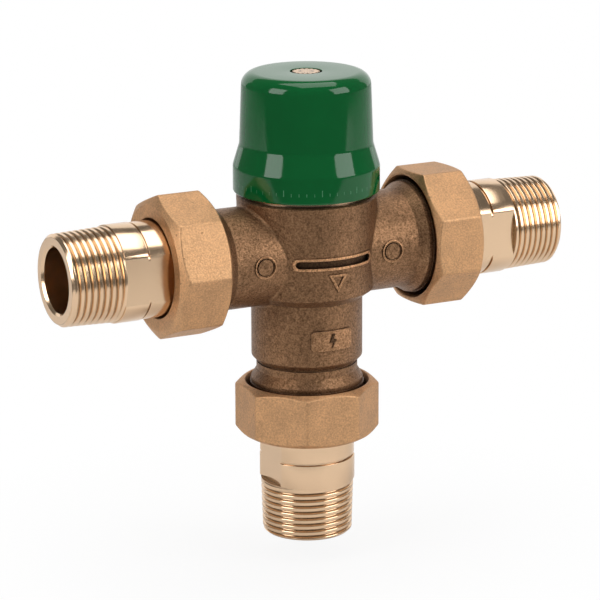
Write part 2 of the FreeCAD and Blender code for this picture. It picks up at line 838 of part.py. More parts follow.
def union_nut(port, turn_degrees):
    """Octagonal nut: a lip behind the tailpiece's flange and a bore over the body's collar."""
    body = new_body(f"{port}_union_nut")
    outline = new_sketch(body, "XY_Plane", "Octagon", lift=S.nut_start)
    polygon(outline, 8, NUT_FLATS, OCTAGON_CORNER)
    feature(body, "Pad", outline, "Blank", Length=S.nut_length)
    lip = S.nut_start + S.nut_lip
    outside = NUT_FLATS / 2 * OCTAGON_CORNER + 1
    before, after = S.nut_start - 1, NUT_END + 1
    section = new_sketch(body, "XZ_Plane", "BoreAndBevels")
    loop(
        section,
        [
            (length(0), before),
            (NUT_HOLE_RADIUS, before),
            (NUT_HOLE_RADIUS, lip),
            (UNION_BORE, lip),
            (UNION_BORE, NUT_END - S.nut_mouth_chamfer),
            (UNION_BORE + S.nut_mouth_chamfer, NUT_END),
            (UNION_BORE + S.nut_mouth_chamfer, after),
            (length(0), after),
        ],
    )
    outer, inner = NUT_OUTER_CHAMFER_RADIUS, NUT_INNER_CHAMFER_RADIUS
    loop(
        section,
        [
            (outer, before),
            (outside, before),
            (outside, S.nut_start + (outside - outer) * BEVEL_SLOPE),
            (outer, S.nut_start),
        ],
    )
    loop(
        section,
        [
            (inner, NUT_END),
            (outside, NUT_END - (outside - inner) * BEVEL_SLOPE),
            (outside, after),
            (inner, after),
        ],
    )
    groove(body, section, "Bored")
    at_port(body, port, turn_degrees)


def gasket(port):
    section = ring_section(GASKET_HOLE_RADIUS, GASKET_RADIUS, GASKET_START, UNION_STACK)
    at_port(turned(f"{port}_gasket", section), port)


def strainer(port):
    """A slotted basket whose rim is trapped between the tailpiece and the gasket."""
    rim_start = GASKET_START - S.strainer_rim_thickness
    tip = rim_start - S.strainer_length
    inside = STRAINER_RADIUS - S.strainer_wall
    body = turned(
        f"{port}_strainer",
        [
            (length(0), tip),
            (STRAINER_RADIUS, tip),
            (STRAINER_RADIUS, rim_start),
            (STRAINER_RIM_RADIUS, rim_start),
            (STRAINER_RIM_RADIUS, GASKET_START),
            (inside, GASKET_START),
            (inside, tip + S.strainer_wall),
            (length(0), tip + S.strainer_wall),
        ],
    )
    slot = new_sketch(body, "XZ_Plane", "SlotOutline")
    middle = (tip + rim_start) / 2
    half_width, half_length = S.strainer_slot_width / 2, S.strainer_slot_length / 2
    rectangle(slot, -half_width, half_width, middle - half_length, middle + half_length)
    first = cut_through(body, slot, "Slot", Length=STRAINER_RADIUS + 1)
    around(body, first, "Slots", S.strainer_slots)
    at_port(body, port)


# ---------------------------------------------------------------- check cartridges


def spider(body, foot, thickness, hub_bore, hub_radius, ring_radius, arm_width, arm_count):
    """A hub carried by arms inside a ring."""
    arm = new_sketch(body, "XY_Plane", "ArmOutline", lift=foot)
    rectangle(arm, hub_bore + 0.2, ring_radius + 0.4, -arm_width / 2, arm_width / 2)
    first = feature(body, "Pad", arm, "Arm", Length=thickness)
    doc.recompute()
    around(body, first, "Arms", arm_count)
    hub = new_sketch(body, "XY_Plane", "HubOutline", lift=foot)
    circle(hub, length(0), length(0), hub_radius)
    circle(hub, length(0), length(0), hub_bore)
    feature(body, "Pad", hub, "Hub", Length=thickness)
    doc.recompute()


def check_seal_radius():
    return S.arm_bore_radius - S.running_clearance - S.cartridge_seal_radius


def check_housing(port):
    seal_middle = UNION_STACK + S.cartridge_seal_start
    half_groove = S.cartridge_seal_radius + S.running_clearance
    groove_floor = check_seal_radius() - S.cartridge_seal_radius - S.running_clearance
    flange = CARTRIDGE_SEAT_RADIUS - S.seat_clearance
    flange_end = UNION_STACK + S.cartridge_seat_depth
    end = UNION_STACK + S.cartridge_length
    body = turned(
        f"{port}_check_housing",
        [
            (CARTRIDGE_PORT_RADIUS, UNION_STACK),
            (flange, UNION_STACK),
            (flange, flange_end),
            (CARTRIDGE_RADIUS, flange_end),
            (CARTRIDGE_RADIUS, seal_middle - half_groove),
            (groove_floor, seal_middle - half_groove),
            (groove_floor, seal_middle + half_groove),
            (CARTRIDGE_RADIUS, seal_middle + half_groove),
            (CARTRIDGE_RADIUS, end),
            (CARTRIDGE_CHAMBER_RADIUS, end),
            (CARTRIDGE_CHAMBER_RADIUS, CHECK_SEAT),
            (CARTRIDGE_PORT_RADIUS, CHECK_SEAT),
        ],
    )
    hub_bore = S.poppet_stem_radius + S.guide_clearance
    chamber, width = CARTRIDGE_CHAMBER_RADIUS, S.cartridge_arm_width
    guide = S.cartridge_guide_length
    spider(body, CHECK_GUIDE, guide, hub_bore, S.cartridge_hub_radius, chamber, width, length(3))
    at_port(body, port)


def check_seal(port):
    height = UNION_STACK + S.cartridge_seal_start
    label = f"{port}_check_o_ring"
    at_port(seal_ring(label, check_seal_radius(), S.cartridge_seal_radius, height), port)


def check_poppet(port):
    back = CHECK_SEAT + S.poppet_thickness
    tip = back + S.poppet_stem_length
    body = turned(
        f"{port}_check_poppet",
        [
            (length(0), CHECK_SEAT - S.poppet_nose_length),
            (POPPET_NOSE_RADIUS * 0.6, CHECK_SEAT - S.poppet_nose_length),
            (POPPET_NOSE_RADIUS, CHECK_SEAT),
            (POPPET_RADIUS, CHECK_SEAT),
            (POPPET_RADIUS, back),
            (S.poppet_stem_radius, back),
            (S.poppet_stem_radius, tip),
            (length(0), tip),
        ],
    )
    at_port(body, port)


def check_spring(port):
    low = CHECK_SEAT + S.poppet_thickness
    radius, wire = S.check_spring_radius, S.check_spring_wire
    at_port(coil(f"{port}_check_spring", radius, wire, S.check_spring_turns, low, CHECK_GUIDE), port)


# ---------------------------------------------------------------- bonnet, spindle and cap


def bonnet():
    """Headwork screwed into the casting; its nose is the cold seat and its tower holds the spindle."""
    thread = S.bonnet_bore_radius - S.bonnet_thread_clearance
    thread_foot = S.bonnet_bore_floor + 2 * S.running_clearance
    flange_top = S.rim_height + S.bonnet_flange_thickness
    groove_half = S.bonnet_seal_radius + S.running_clearance
    groove_roof = S.rim_height + 2 * S.bonnet_seal_radius + S.running_clearance
    body = turned(
        "bonnet",
        [
            (S.carrier_bore_radius, S.cold_seat_height),
            (BONNET_NOSE_RADIUS, S.cold_seat_height),
            (BONNET_NOSE_RADIUS, thread_foot),
            (thread, thread_foot),
            (thread, S.rim_height),
            (S.bonnet_seal_ring_radius - groove_half, S.rim_height),
            (S.bonnet_seal_ring_radius - groove_half, groove_roof),
            (S.bonnet_seal_ring_radius + groove_half, groove_roof),
            (S.bonnet_seal_ring_radius + groove_half, S.rim_height),
            (S.bonnet_flange_radius, S.rim_height),
            (S.bonnet_flange_radius, flange_top),
            (S.bonnet_tower_radius, flange_top),
            (S.bonnet_tower_radius, BONNET_TOP),
            (S.journal_radius, BONNET_TOP),
            (S.journal_radius, S.bonnet_roof),
            (S.carrier_bore_radius, S.bonnet_roof),
        ],
    )
    hexagon = new_sketch(body, "XY_Plane", "HexOutline", lift=flange_top)
    polygon(hexagon, 6, S.bonnet_flats, HEXAGON_CORNER)
    circle(hexagon, length(0), length(0), S.bonnet_tower_radius - 1)
    feature(body, "Pad", hexagon, "Hex", Length=S.bonnet_hex_height)
    keyway = new_sketch(body, "XY_Plane", "KeywayOutline", lift=S.cold_seat_height)
    half = S.key_width / 2 + S.guide_clearance
    rectangle(keyway, S.carrier_bore_radius - 1, KEYWAY_RADIUS, -half, half)
    cut_through(body, keyway, "Keyway", Length=S.bonnet_roof - S.cold_seat_height, Reversed=True)
    at_centre(body)


def bonnet_seal():
    height = S.rim_height + S.bonnet_seal_radius + S.running_clearance / 2
    at_centre(seal_ring("bonnet_o_ring", S.bonnet_seal_ring_radius, S.bonnet_seal_radius, height))


def spindle_seal_ring_radius():
    return S.journal_radius - S.running_clearance / 2 - S.spindle_seal_radius


def spindle():
    """Left-hand thread below, captive flange, sealed journal, clip groove and splined tip."""
    flange_foot = S.bonnet_roof - S.spindle_flange_thickness
    half_groove = S.spindle_seal_radius + S.running_clearance
    seal_floor = spindle_seal_ring_radius() - S.spindle_seal_radius - S.running_clearance
    clip_top = CLIP_FOOT + S.spindle_clip_thickness
    body = turned(
        "spindle",
        [
            (length(0), S.spindle_thread_foot),
            (S.spindle_thread_radius, S.spindle_thread_foot),
            (S.spindle_thread_radius, flange_foot),
            (S.spindle_flange_radius, flange_foot),
            (S.spindle_flange_radius, S.bonnet_roof),
            (SPINDLE_RADIUS, S.bonnet_roof),
            (SPINDLE_RADIUS, S.spindle_seal_height - half_groove),
            (seal_floor, S.spindle_seal_height - half_groove),
            (seal_floor, S.spindle_seal_height + half_groove),
            (SPINDLE_RADIUS, S.spindle_seal_height + half_groove),
            (SPINDLE_RADIUS, CLIP_FOOT - S.running_clearance),
            (S.spindle_clip_groove_radius, CLIP_FOOT - S.running_clearance),
            (S.spindle_clip_groove_radius, clip_top + S.running_clearance),
            (SPINDLE_RADIUS, clip_top + S.running_clearance),
            (SPINDLE_RADIUS, S.spline_foot),
            (S.spline_radius, S.spline_foot),
            (S.spline_radius, SPLINE_TOP),
            (length(0), SPLINE_TOP),
        ],
    )
    notch = new_sketch(body, "XY_Plane", "SplineOutline", lift=S.spline_foot)
    circle(notch, S.spline_radius, length(0), S.spline_groove_radius)
    depth = SPLINE_TOP - S.spline_foot
    first = cut_through(body, notch, "SplineGroove", Length=depth, Reversed=True)
    around(body, first, "Splines", S.spline_count)
    at_centre(body)


def spindle_seal():
    radius = spindle_seal_ring_radius()
    at_centre(seal_ring("spindle_o_ring", radius, S.spindle_seal_radius, S.spindle_seal_height))


def spindle_clip():
    inner = S.spindle_clip_groove_radius + S.running_clearance
    top = CLIP_FOOT + S.spindle_clip_thickness
    gap = S.spindle_clip_gap
    at_centre(split_ring("spindle_clip", inner, S.spindle_clip_radius, CLIP_FOOT, top, gap))


def cap():
    """Moulded cap: skirt, waist and drafted sides outside; hub, spline ribs and webs inside."""
    roof = CAP_TOP - S.cap_roof
    hole = S.spline_radius + S.spline_clearance
    recess = CAP_TOP - S.cap_recess_depth
    inner_skirt = S.cap_skirt_radius - S.cap_wall
    inner_top = S.cap_top_radius - S.cap_wall
    body = turned(
        "cap",
        [
            (S.cap_skirt_radius, CAP_FOOT),
            (S.cap_skirt_radius, CAP_SKIRT_TOP),
            (S.cap_waist_radius, CAP_WAIST),
            (S.cap_top_radius, CAP_TOP),
            (S.cap_recess_radius, CAP_TOP),
            (S.cap_recess_radius, recess),
            (hole, recess),
            (hole, S.cap_hub_foot),
            (S.cap_hub_radius, S.cap_hub_foot),
            (S.cap_hub_radius, roof),
            (inner_top, roof),
            (S.cap_waist_radius - S.cap_wall, CAP_WAIST),
            (inner_skirt, CAP_SKIRT_TOP),
            (inner_skirt, CAP_FOOT),
        ],
    )
    shoulder = [(S.cap_skirt_radius, CAP_SKIRT_TOP), (S.cap_waist_radius, CAP_WAIST)]
    round_off(body, "TopEdge", S.cap_corner, [(S.cap_top_radius, CAP_TOP)])
    round_off(body, "Shoulder", S.cap_shoulder_blend, shoulder)
    round_off(body, "FootEdge", S.cap_foot_blend, [(S.cap_skirt_radius, CAP_FOOT)])
    round_off(body, "InnerCorner", S.cap_inner_corner, [(inner_top, roof)])
    web = new_sketch(body, "XY_Plane", "WebOutline", lift=S.cap_hub_foot)
    half = S.cap_rib_width / 2
    rectangle(web, S.cap_hub_radius - 0.5, inner_top + 0.4, -half, half)
    first_web = feature(body, "Pad", web, "Web", Length=roof - S.cap_hub_foot)
    doc.recompute()
    around(body, first_web, "Webs", S.cap_rib_count)
    rib = new_sketch(body, "XY_Plane", "SplineRibOutline", lift=S.cap_hub_foot)
    circle(rib, S.spline_radius + S.running_clearance, length(0), S.spline_rib_radius)
    first_rib = feature(body, "Pad", rib, "SplineRib", Length=recess - S.cap_hub_foot)
    doc.recompute()
    around(body, first_rib, "SplineRibs", S.spline_count)
    at_centre(body)


# ---------------------------------------------------------------- carrier and plunger


def carrier():
    """Keyed sleeve that the spindle's thread raises and lowers; it holds the override spring."""
    thread = S.spindle_thread_radius + S.carrier_thread_clearance
    groove_radius = STOP_RING_RADIUS + S.stop_ring_groove_clearance
    groove_foot = S.stop_ring_foot - S.stop_ring_groove_clearance
    body = turned(
        "spring_carrier",
        [
            (SPRING_CHAMBER_RADIUS, S.carrier_foot),
            (CARRIER_RADIUS, S.carrier_foot),
            (CARRIER_RADIUS, S.carrier_top),
            (thread, S.carrier_top),
            (thread, S.carrier_roof),
            (SPRING_CHAMBER_RADIUS, S.carrier_roof),
            (SPRING_CHAMBER_RADIUS, STOP_RING_TOP),
            (groove_radius, STOP_RING_TOP),
            (groove_radius, groove_foot),
            (SPRING_CHAMBER_RADIUS, groove_foot),
        ],
    )
    key = new_sketch(body, "XY_Plane", "KeyOutline", lift=STOP_RING_TOP + 1)
    half = S.key_width / 2
    rectangle(key, CARRIER_RADIUS - 0.5, KEYWAY_RADIUS - S.guide_clearance, -half, half)
    feature(body, "Pad", key, "Key", Length=S.carrier_top - STOP_RING_TOP - 1)
    at_centre(body)


def stop_ring():
    low, top = S.stop_ring_foot, STOP_RING_TOP
    inner, outer, gap = S.stop_ring_hole_radius, STOP_RING_RADIUS, S.stop_ring_gap
    at_centre(split_ring("plunger_stop_ring", inner, outer, low, top, gap))


def plunger():
    recess_radius = S.rod_radius + S.rod_clearance
    flange_top = STOP_RING_TOP + S.plunger_flange_thickness
    stem_top = flange_top + S.plunger_stem_length
    section = [
        (length(0), ROD_TOP),
        (recess_radius, ROD_TOP),
        (recess_radius, S.plunger_boss_foot),
        (S.plunger_boss_radius, S.plunger_boss_foot),
        (S.plunger_boss_radius, STOP_RING_TOP),
        (PLUNGER_FLANGE_RADIUS, STOP_RING_TOP),
        (PLUNGER_FLANGE_RADIUS, flange_top),
        (S.plunger_stem_radius, flange_top),
        (S.plunger_stem_radius, stem_top),
        (length(0), stem_top),
    ]
    at_centre(turned("plunger", section))


def override_spring():
    low = STOP_RING_TOP + S.plunger_flange_thickness
    radius, wire = S.override_spring_radius, S.override_spring_wire
    turns = S.override_spring_turns
    at_centre(coil("override_spring", radius, wire, turns, low, S.carrier_roof))


# ---------------------------------------------------------------- wax element and shuttle


def element_rod():
    at_centre(turned("element_rod", ring_section(length(0), S.rod_radius, S.rod_foot, ROD_TOP)))


def element_guide():
    bore = S.rod_radius + S.rod_clearance
    flange_top = SPIDER_TOP + S.element_flange_thickness
    neck_top = flange_top + S.element_neck_length
    section = [
        (bore, SPIDER_TOP),
        (S.element_flange_radius, SPIDER_TOP),
        (S.element_flange_radius, flange_top),
        (S.element_neck_radius, flange_top),
        (S.element_neck_radius, neck_top),
        (bore, neck_top),
    ]
    at_centre(turned("element_guide", section))


def element_cup():
    """The wax-filled copper cup, solid but for the rod's blind bore."""
    bore = S.rod_radius + 2 * S.rod_clearance
    foot = SPIDER_TOP - S.element_cup_length
    bore_foot = SPIDER_TOP - S.element_bore_length
    section = [
        (length(0), foot),
        (S.element_cup_radius, foot),
        (S.element_cup_radius, SPIDER_TOP),
        (bore, SPIDER_TOP),
        (bore, bore_foot),
        (length(0), bore_foot),
    ]
    body = turned("element_cup", section)
    round_off(body, "FootEdge", S.element_cup_round, [(S.element_cup_radius, foot)])
    at_centre(body)


def shuttle_seal_ring_radius():
    return S.web_radius - S.shuttle_seal_gap - S.shuttle_seal_radius


def shuttle():
    """Sleeve between the cold seat above and the hot seat below, sealed in the centre web."""
    inner = SHUTTLE_BORE_RADIUS
    foot = S.shuttle_travel - S.gallery_floor
    half_groove = S.shuttle_seal_radius + S.running_clearance
    seal_floor = shuttle_seal_ring_radius() - S.shuttle_seal_radius - S.running_clearance
    body = turned(
        "shuttle",
        [
            (inner, foot),
            (SHUTTLE_RADIUS, foot),
            (SHUTTLE_RADIUS, -half_groove),
            (seal_floor, -half_groove),
            (seal_floor, half_groove),
            (SHUTTLE_RADIUS, half_groove),
            (SHUTTLE_RADIUS, S.cold_seat_height),
            (inner, S.cold_seat_height),
            (inner, S.shuttle_ring_half),
            (SHUTTLE_RING_RADIUS, S.shuttle_ring_half),
            (SHUTTLE_RING_RADIUS, -S.shuttle_ring_half),
            (inner, -S.shuttle_ring_half),
        ],
    )
    hub_bore = S.element_cup_radius + S.guide_clearance
    hub_radius = hub_bore + S.spider_hub_wall
    ring, width = SHUTTLE_RING_RADIUS, S.spider_arm_width
    spider(body, SPIDER_FOOT, S.spider_height, hub_bore, hub_radius, ring, width, length(4))
    at_centre(body)


def shuttle_seal():
    radius = shuttle_seal_ring_radius()
    at_centre(seal_ring("shuttle_o_ring", radius, S.shuttle_seal_radius, length(0)))


def spring_seat():
    """Perforated disc that carries the return spring and steadies the wax cup."""
    hole = S.element_cup_radius + S.spring_seat_clearance
    outside = S.mixing_radius - S.spring_seat_clearance
    top = -S.spring_seat_top
    foot = top - S.spring_seat_thickness
    body = turned("spring_seat", ring_section(hole, outside, foot, top))
    port = new_sketch(body, "XY_Plane", "FlowHoleOutline", lift=foot)
    circle(port, S.spring_seat_hole_circle, length(0), S.spring_seat_hole_radius)
    first = cut_through(body, port, "FlowHole", Length=S.spring_seat_thickness, Reversed=True)
    around(body, first, "FlowHoles", S.spring_seat_holes)
    at_centre(body)


def seat_ring():
    outer = SEAT_GROOVE_RADIUS - S.stop_ring_groove_clearance
    inner = outer - S.seat_ring_width
    gap = S.seat_ring_gap
    at_centre(split_ring("seat_retaining_ring", inner, outer, SEAT_RING_FOOT, SEAT_RING_TOP, gap))


def return_spring():
    radius = SHUTTLE_RING_RADIUS - S.return_spring_clearance - RETURN_WIRE / 2
    turns = S.return_spring_turns
    at_centre(coil("return_spring", radius, RETURN_WIRE, turns, -S.spring_seat_top, SPIDER_FOOT))


# ---------------------------------------------------------------- build and write


def check_model():
    """Stop before writing anything if a feature failed or a piece has no sound solid."""
    for thing in doc.Objects:
        if "Invalid" in thing.State or "Error" in thing.State:
            raise RuntimeError(f"{thing.Label} failed: {thing.State}")
    for piece in PIECES:
        if piece.Shape.isNull() or not piece.Shape.isValid() or not piece.Shape.Solids:
            raise RuntimeError(f"{piece.Label} has no valid solid")


def write_pieces():
    os.makedirs("parts", exist_ok=True)
    for piece in PIECES:
        piece.Shape.exportStep(f"parts/{piece.Label}.step")
        print(f"{piece.Label}: {len(piece.Shape.Solids)} solid, {piece.Shape.Volume:.1f} mm3")


def build():
    fill_sheet()
    valve_body()
    for make in (bonnet, bonnet_seal, spindle, spindle_seal, spindle_clip, cap):
        make()
    for make in (carrier, stop_ring, plunger, override_spring):
        make()
    for make in (element_rod, element_guide, element_cup, shuttle, shuttle_seal):
        make()
    for make in (spring_seat, seat_ring, return_spring):
        make()
    for port in ("hot", "cold"):
        for make in (check_housing, check_seal, check_poppet, check_spring, strainer):
            make(port)
    for port, nut_turn, flats_turn in (
        ("hot", SIZES["hot_nut_turn"], 0),
        ("cold", SIZES["cold_nut_turn"], 0),
        ("mixed", SIZES["mixed_nut_turn"], 90),
    ):
        tailpiece(port, flats_turn)
        union_nut(port, nut_turn)
        gasket(port)
    doc.recompute()
    check_model()
    write_pieces()


build()
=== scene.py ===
import math

import bmesh
import bpy
from mathutils import Matrix, Vector


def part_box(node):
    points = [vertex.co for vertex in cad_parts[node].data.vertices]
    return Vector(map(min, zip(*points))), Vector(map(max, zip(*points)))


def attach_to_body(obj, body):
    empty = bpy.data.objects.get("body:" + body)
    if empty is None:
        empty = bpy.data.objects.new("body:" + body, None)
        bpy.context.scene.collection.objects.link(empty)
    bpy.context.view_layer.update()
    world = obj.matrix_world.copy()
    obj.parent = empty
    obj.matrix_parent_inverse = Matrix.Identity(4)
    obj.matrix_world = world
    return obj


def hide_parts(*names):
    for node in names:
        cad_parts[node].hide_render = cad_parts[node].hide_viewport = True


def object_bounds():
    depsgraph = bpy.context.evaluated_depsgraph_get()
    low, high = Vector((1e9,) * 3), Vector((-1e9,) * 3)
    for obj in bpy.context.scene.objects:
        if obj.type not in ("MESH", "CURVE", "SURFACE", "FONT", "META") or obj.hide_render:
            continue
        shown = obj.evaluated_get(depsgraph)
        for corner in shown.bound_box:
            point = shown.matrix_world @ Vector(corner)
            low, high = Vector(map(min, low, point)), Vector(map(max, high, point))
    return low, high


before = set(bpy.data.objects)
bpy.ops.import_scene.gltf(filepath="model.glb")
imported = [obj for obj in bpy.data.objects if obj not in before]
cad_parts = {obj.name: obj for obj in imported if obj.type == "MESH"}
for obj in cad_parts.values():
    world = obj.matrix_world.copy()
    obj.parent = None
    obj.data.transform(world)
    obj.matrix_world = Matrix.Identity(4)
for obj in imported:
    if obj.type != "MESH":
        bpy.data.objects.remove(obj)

bl_info = {
    "name": "Thermostatic mixing valve",
    "version": (1, 0, 0),
    "blender": (4, 5, 0),
    "location": "View3D > Sidebar > Mixing valve",
    "description": "Builds the visible pieces, finishes and stage of a thermostatic mixing valve",
    "category": "Object",
}

MM = 0.001
CAD_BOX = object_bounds()
CENTRE_HEIGHT = (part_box("cold_tailpiece")[0].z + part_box("cold_tailpiece")[1].z) / 2
INLET_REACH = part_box("cold_tailpiece")[1].x
TAIL_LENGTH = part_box("mixed_tailpiece")[1].z
FLANGE_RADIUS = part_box("mixed_tailpiece")[1].x
NUT_START, NUT_END = (corner.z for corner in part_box("mixed_union_nut"))

THREAD_TAPER = 1 / 32  # radius gained for each length of pipe thread
THREAD_CHAMFER = 1.15  # radius gained for each length at the pipe's end
BEVEL_SLOPE = 1 / math.tan(math.radians(30))  # radius gained for each depth of a nut's bevel
NUT_SIDES = 8

# The floor lies clear of the outlet tail, which comes down 6.92 mm when its nut is undone.
FLOOR_DEPTH = 7.2 * MM
FLOOR_FRONT = 0.29
FLOOR_HALF = 1.5

CAMERA_PLACE = Vector((-0.38657, -0.74699, CENTRE_HEIGHT + 0.2111))
CAMERA_VIEW = Vector((0.44191, 0.85866, -0.25964))
CAMERA_ROLL = math.radians(-0.19)
CAMERA_LENS = 184.13

# Each lamp: turn from the front towards the cold side and rise, in degrees, distance, size, brightness.
LAMPS = {
    "softbox_left": (-82, 23, 1.1, (0.55, 0.72), 4.4),
    "softbox_right": (38, 22, 1.1, (0.62, 0.75), 3.9),
    "backdrop": (153, 14, 1.4, (3.0, 1.3), 0.85),
    "ceiling": (90, 84, 1.2, (1.0, 1.0), 2.8),
}

# Each port's pieces are drawn from the pipe end inwards along Z, then put in place by its matrix.
PORTS = {
    "hot": Matrix.Translation((-INLET_REACH, 0, CENTRE_HEIGHT))
    @ Matrix.Rotation(math.radians(90), 4, "Y"),
    "cold": Matrix.Translation((INLET_REACH, 0, CENTRE_HEIGHT))
    @ Matrix.Rotation(math.radians(-90), 4, "Y"),
    "mixed": Matrix.Identity(4),
}


# ---------------------------------------------------------------- what a user may change


def millimetres(name, description, default):
    """A length property, given in millimetres and kept in metres."""
    return bpy.props.FloatProperty(
        name=name, description=description, default=default * MM, min=0.0,
        unit="LENGTH", subtype="DISTANCE", precision=5,
    )


def degrees(name, description, default):
    """An angle property, given in degrees and kept in radians."""
    return bpy.props.FloatProperty(
        name=name, description=description, default=math.radians(default),
        unit="ROTATION", subtype="ANGLE",
    )


def colour(name, description, default):
    """A colour property, in linear light."""
    return bpy.props.FloatVectorProperty(
        name=name, description=description, default=default, size=3, min=0.0, max=1.0, subtype="COLOR"
    )


def count(name, description, default):
    """A whole number of segments or teeth."""
    return bpy.props.IntProperty(name=name, description=description, default=default, min=3)


class TailSizes(bpy.types.PropertyGroup):
    """Tailpiece with its tapered pipe thread and wrench flats"""

    pitch: millimetres("Pitch", "Distance from one thread crest to the next", 1.814)
    groove_width: millimetres("Groove width", "Width of the thread groove at the crest", 0.86)
    groove_depth: millimetres("Groove depth", "Depth of the thread groove", 0.7)
    crest_radius: millimetres("Crest radius", "Thread crest at the collar, the widest turn", 13.3)
    thread_length: millimetres("Thread length", "Pipe end to the collar", 15.8)
    end_radius: millimetres("End radius", "Outer edge of the end face", 12.0)
    collar_radius: millimetres("Collar radius", "Plain collar beyond the thread", 13.66)
    ring_start: millimetres("Ring start", "Pipe end to the turned line behind the collar", 22.7)
    ring_depth: millimetres("Ring depth", "Depth of the turned line", 0.4)
    stem_radius: millimetres("Stem radius", "Part under the nut", 13.5)
    bore_radius: millimetres("Bore radius", "Water way", 9.1)
    flat_distance: millimetres("Flat distance", "Axis to a wrench flat", 11.7)
    flat_end: millimetres("Flat end", "Pipe end to the inner end of the flats", 31.8)
    flange_start: millimetres("Flange start", "Pipe end to the flange behind the nut's lip", 32.3)
    hot_turn: degrees("Hot turn", "Turn of the hot tail about its pipe", 0)
    cold_turn: degrees("Cold turn", "Turn of the cold tail about its pipe", 0)
    mixed_turn: degrees("Mixed turn", "Turn of the outlet tail about its pipe", 90)
    steps: count("Steps", "Segments in one turn", 192)


class NutSizes(bpy.types.PropertyGroup):
    """Octagonal union nut"""

    flat_distance: millimetres("Flat distance", "Axis to a flat", 19.05)
    outer_radius: millimetres("Outer face radius", "Where the outer bevel meets the end face", 17.6)
    inner_radius: millimetres("Inner face radius", "Where the inner bevel meets the end face", 18.2)
    edge_softness: millimetres("Edge softness", "Width over which pressed edges are rounded", 0.4)
    hole_radius: millimetres("Hole radius", "Hole round the tailpiece", 14.0)
    bore_radius: millimetres("Bore radius", "Threaded bore", 16.45)
    mouth_radius: millimetres("Mouth radius", "Widened mouth of the threaded bore", 17.7)
    mouth_depth: millimetres("Mouth depth", "Depth of the widened mouth", 3.4)
    lip: millimetres("Lip", "Thickness of the lip that holds the flange", 3.0)
    hot_turn: degrees("Hot turn", "Turn of the hot nut", 0)
    cold_turn: degrees("Cold turn", "Turn of the cold nut", 23.5)
    mixed_turn: degrees("Mixed turn", "Turn of the outlet nut", -27)
    steps: count("Steps", "Segments in one turn", 384)


class CapSizes(bpy.types.PropertyGroup):
    """Moulded adjusting cap"""

    skirt_radius: millimetres("Skirt radius", "Widest part, at the foot", 20.67)
    skirt_height: millimetres("Skirt height", "Straight part of the skirt", 7.4)
    waist_height: millimetres("Waist height", "Foot to the top of the shoulder", 13.6)
    waist_radius: millimetres("Waist radius", "Radius above the shoulder", 18.8)
    top_radius: millimetres("Top radius", "Radius the sides would reach at the top", 18.05)
    top_round: millimetres("Top round", "Radius of the rounded top edge", 3.8)
    shoulder_round: millimetres("Shoulder round", "Radius of the bend below the shoulder", 3.5)
    waist_round: millimetres("Waist round", "Radius of the bend above the shoulder", 5)
    wall: millimetres("Wall", "Thickness of the sides", 1.8)
    roof: millimetres("Roof", "Thickness of the top", 3.4)
    recess_radius: millimetres("Recess radius", "Sunk ring round the spindle", 4.5)
    recess_depth: millimetres("Recess depth", "Depth of the sunk ring", 1.9)
    hole_radius: millimetres("Hole radius", "Hole for the splined spindle", 3.45)
    tooth_count: count("Teeth", "Splines round the spindle's tip", 16)
    tooth_root: millimetres("Tooth root", "Radius between the splines", 3.3)
    tooth_tip: millimetres("Tooth tip", "Radius over the splines", 3.85)
    hub_radius: millimetres("Hub radius", "Inner hub", 5.4)
    hub_height: millimetres("Hub height", "Foot of the cap to the foot of the hub", 23.8)
    steps: count("Steps", "Segments in one turn", 256)


class MarkSizes(bpy.types.PropertyGroup):
    """Cast marks on the front of the body"""

    triangle_width: millimetres("Triangle width", "Width of the outlined triangle", 5.8)
    triangle_top: millimetres("Triangle top", "Inlet axis down to the triangle's top edge", 3.1)
    triangle_height: millimetres("Triangle height", "Height of the triangle", 5.2)
    line_width: millimetres("Line width", "Width of a raised line", 0.7)
    proud: millimetres("Proud", "Height of the marks over the casting", 0.35)
    disc_offset: millimetres("Disc offset", "Middle of the body to each round mark", 20.0)
    disc_rim: millimetres("Disc rim", "Outer radius of the raised rim round a mark", 3.3)
    # Below slot_floor the slot takes painted shade; above slot_lip and plaque_face the lip and the plaque
    # face are made lighter.
    slot_floor: millimetres("Slot floor", "Radius below which the slot is dark", 18.95)
    slot_lip: millimetres("Slot lip", "Radius above which the slot's lip is worn pale", 19.45)
    slot_half: millimetres("Slot half height", "Half the height of the slot", 1.2)
    slot_reach: millimetres("Slot reach", "Half the width of the slot's lip", 12.6)
    plaque_face: millimetres("Plaque face", "Radius above which the plaque is worn pale", 16.13)
    plaque_drop: millimetres("Plaque drop", "Inlet axis down to the middle of the plaque", 23.0)
    plaque_half: millimetres("Plaque half height", "Half the height of the plaque", 3.2)


class Colours(bpy.types.PropertyGroup):
    """Colours of the finishes"""

    cast_dark: colour("Cast, dark", "Darker skin of the bronze casting", (0.13, 0.066, 0.03))
    cast_light: colour("Cast, light", "Lighter grains of the bronze casting", (0.475, 0.26, 0.134))
    nut: colour("Nut", "Pressed brass nut", (0.74, 0.43, 0.22))
    tail: colour("Tail", "Turned brass tail", (0.87, 0.615, 0.4))
    cap: colour("Cap", "Moulded cap", (0.002, 0.115, 0.026))
    tick: colour("Tick", "Pale tick marks on the cap", (0.1, 0.3, 0.16))
    floor: colour("Floor", "Floor of the stage", (0.88, 0.88, 0.88))


# ---------------------------------------------------------------- shader building


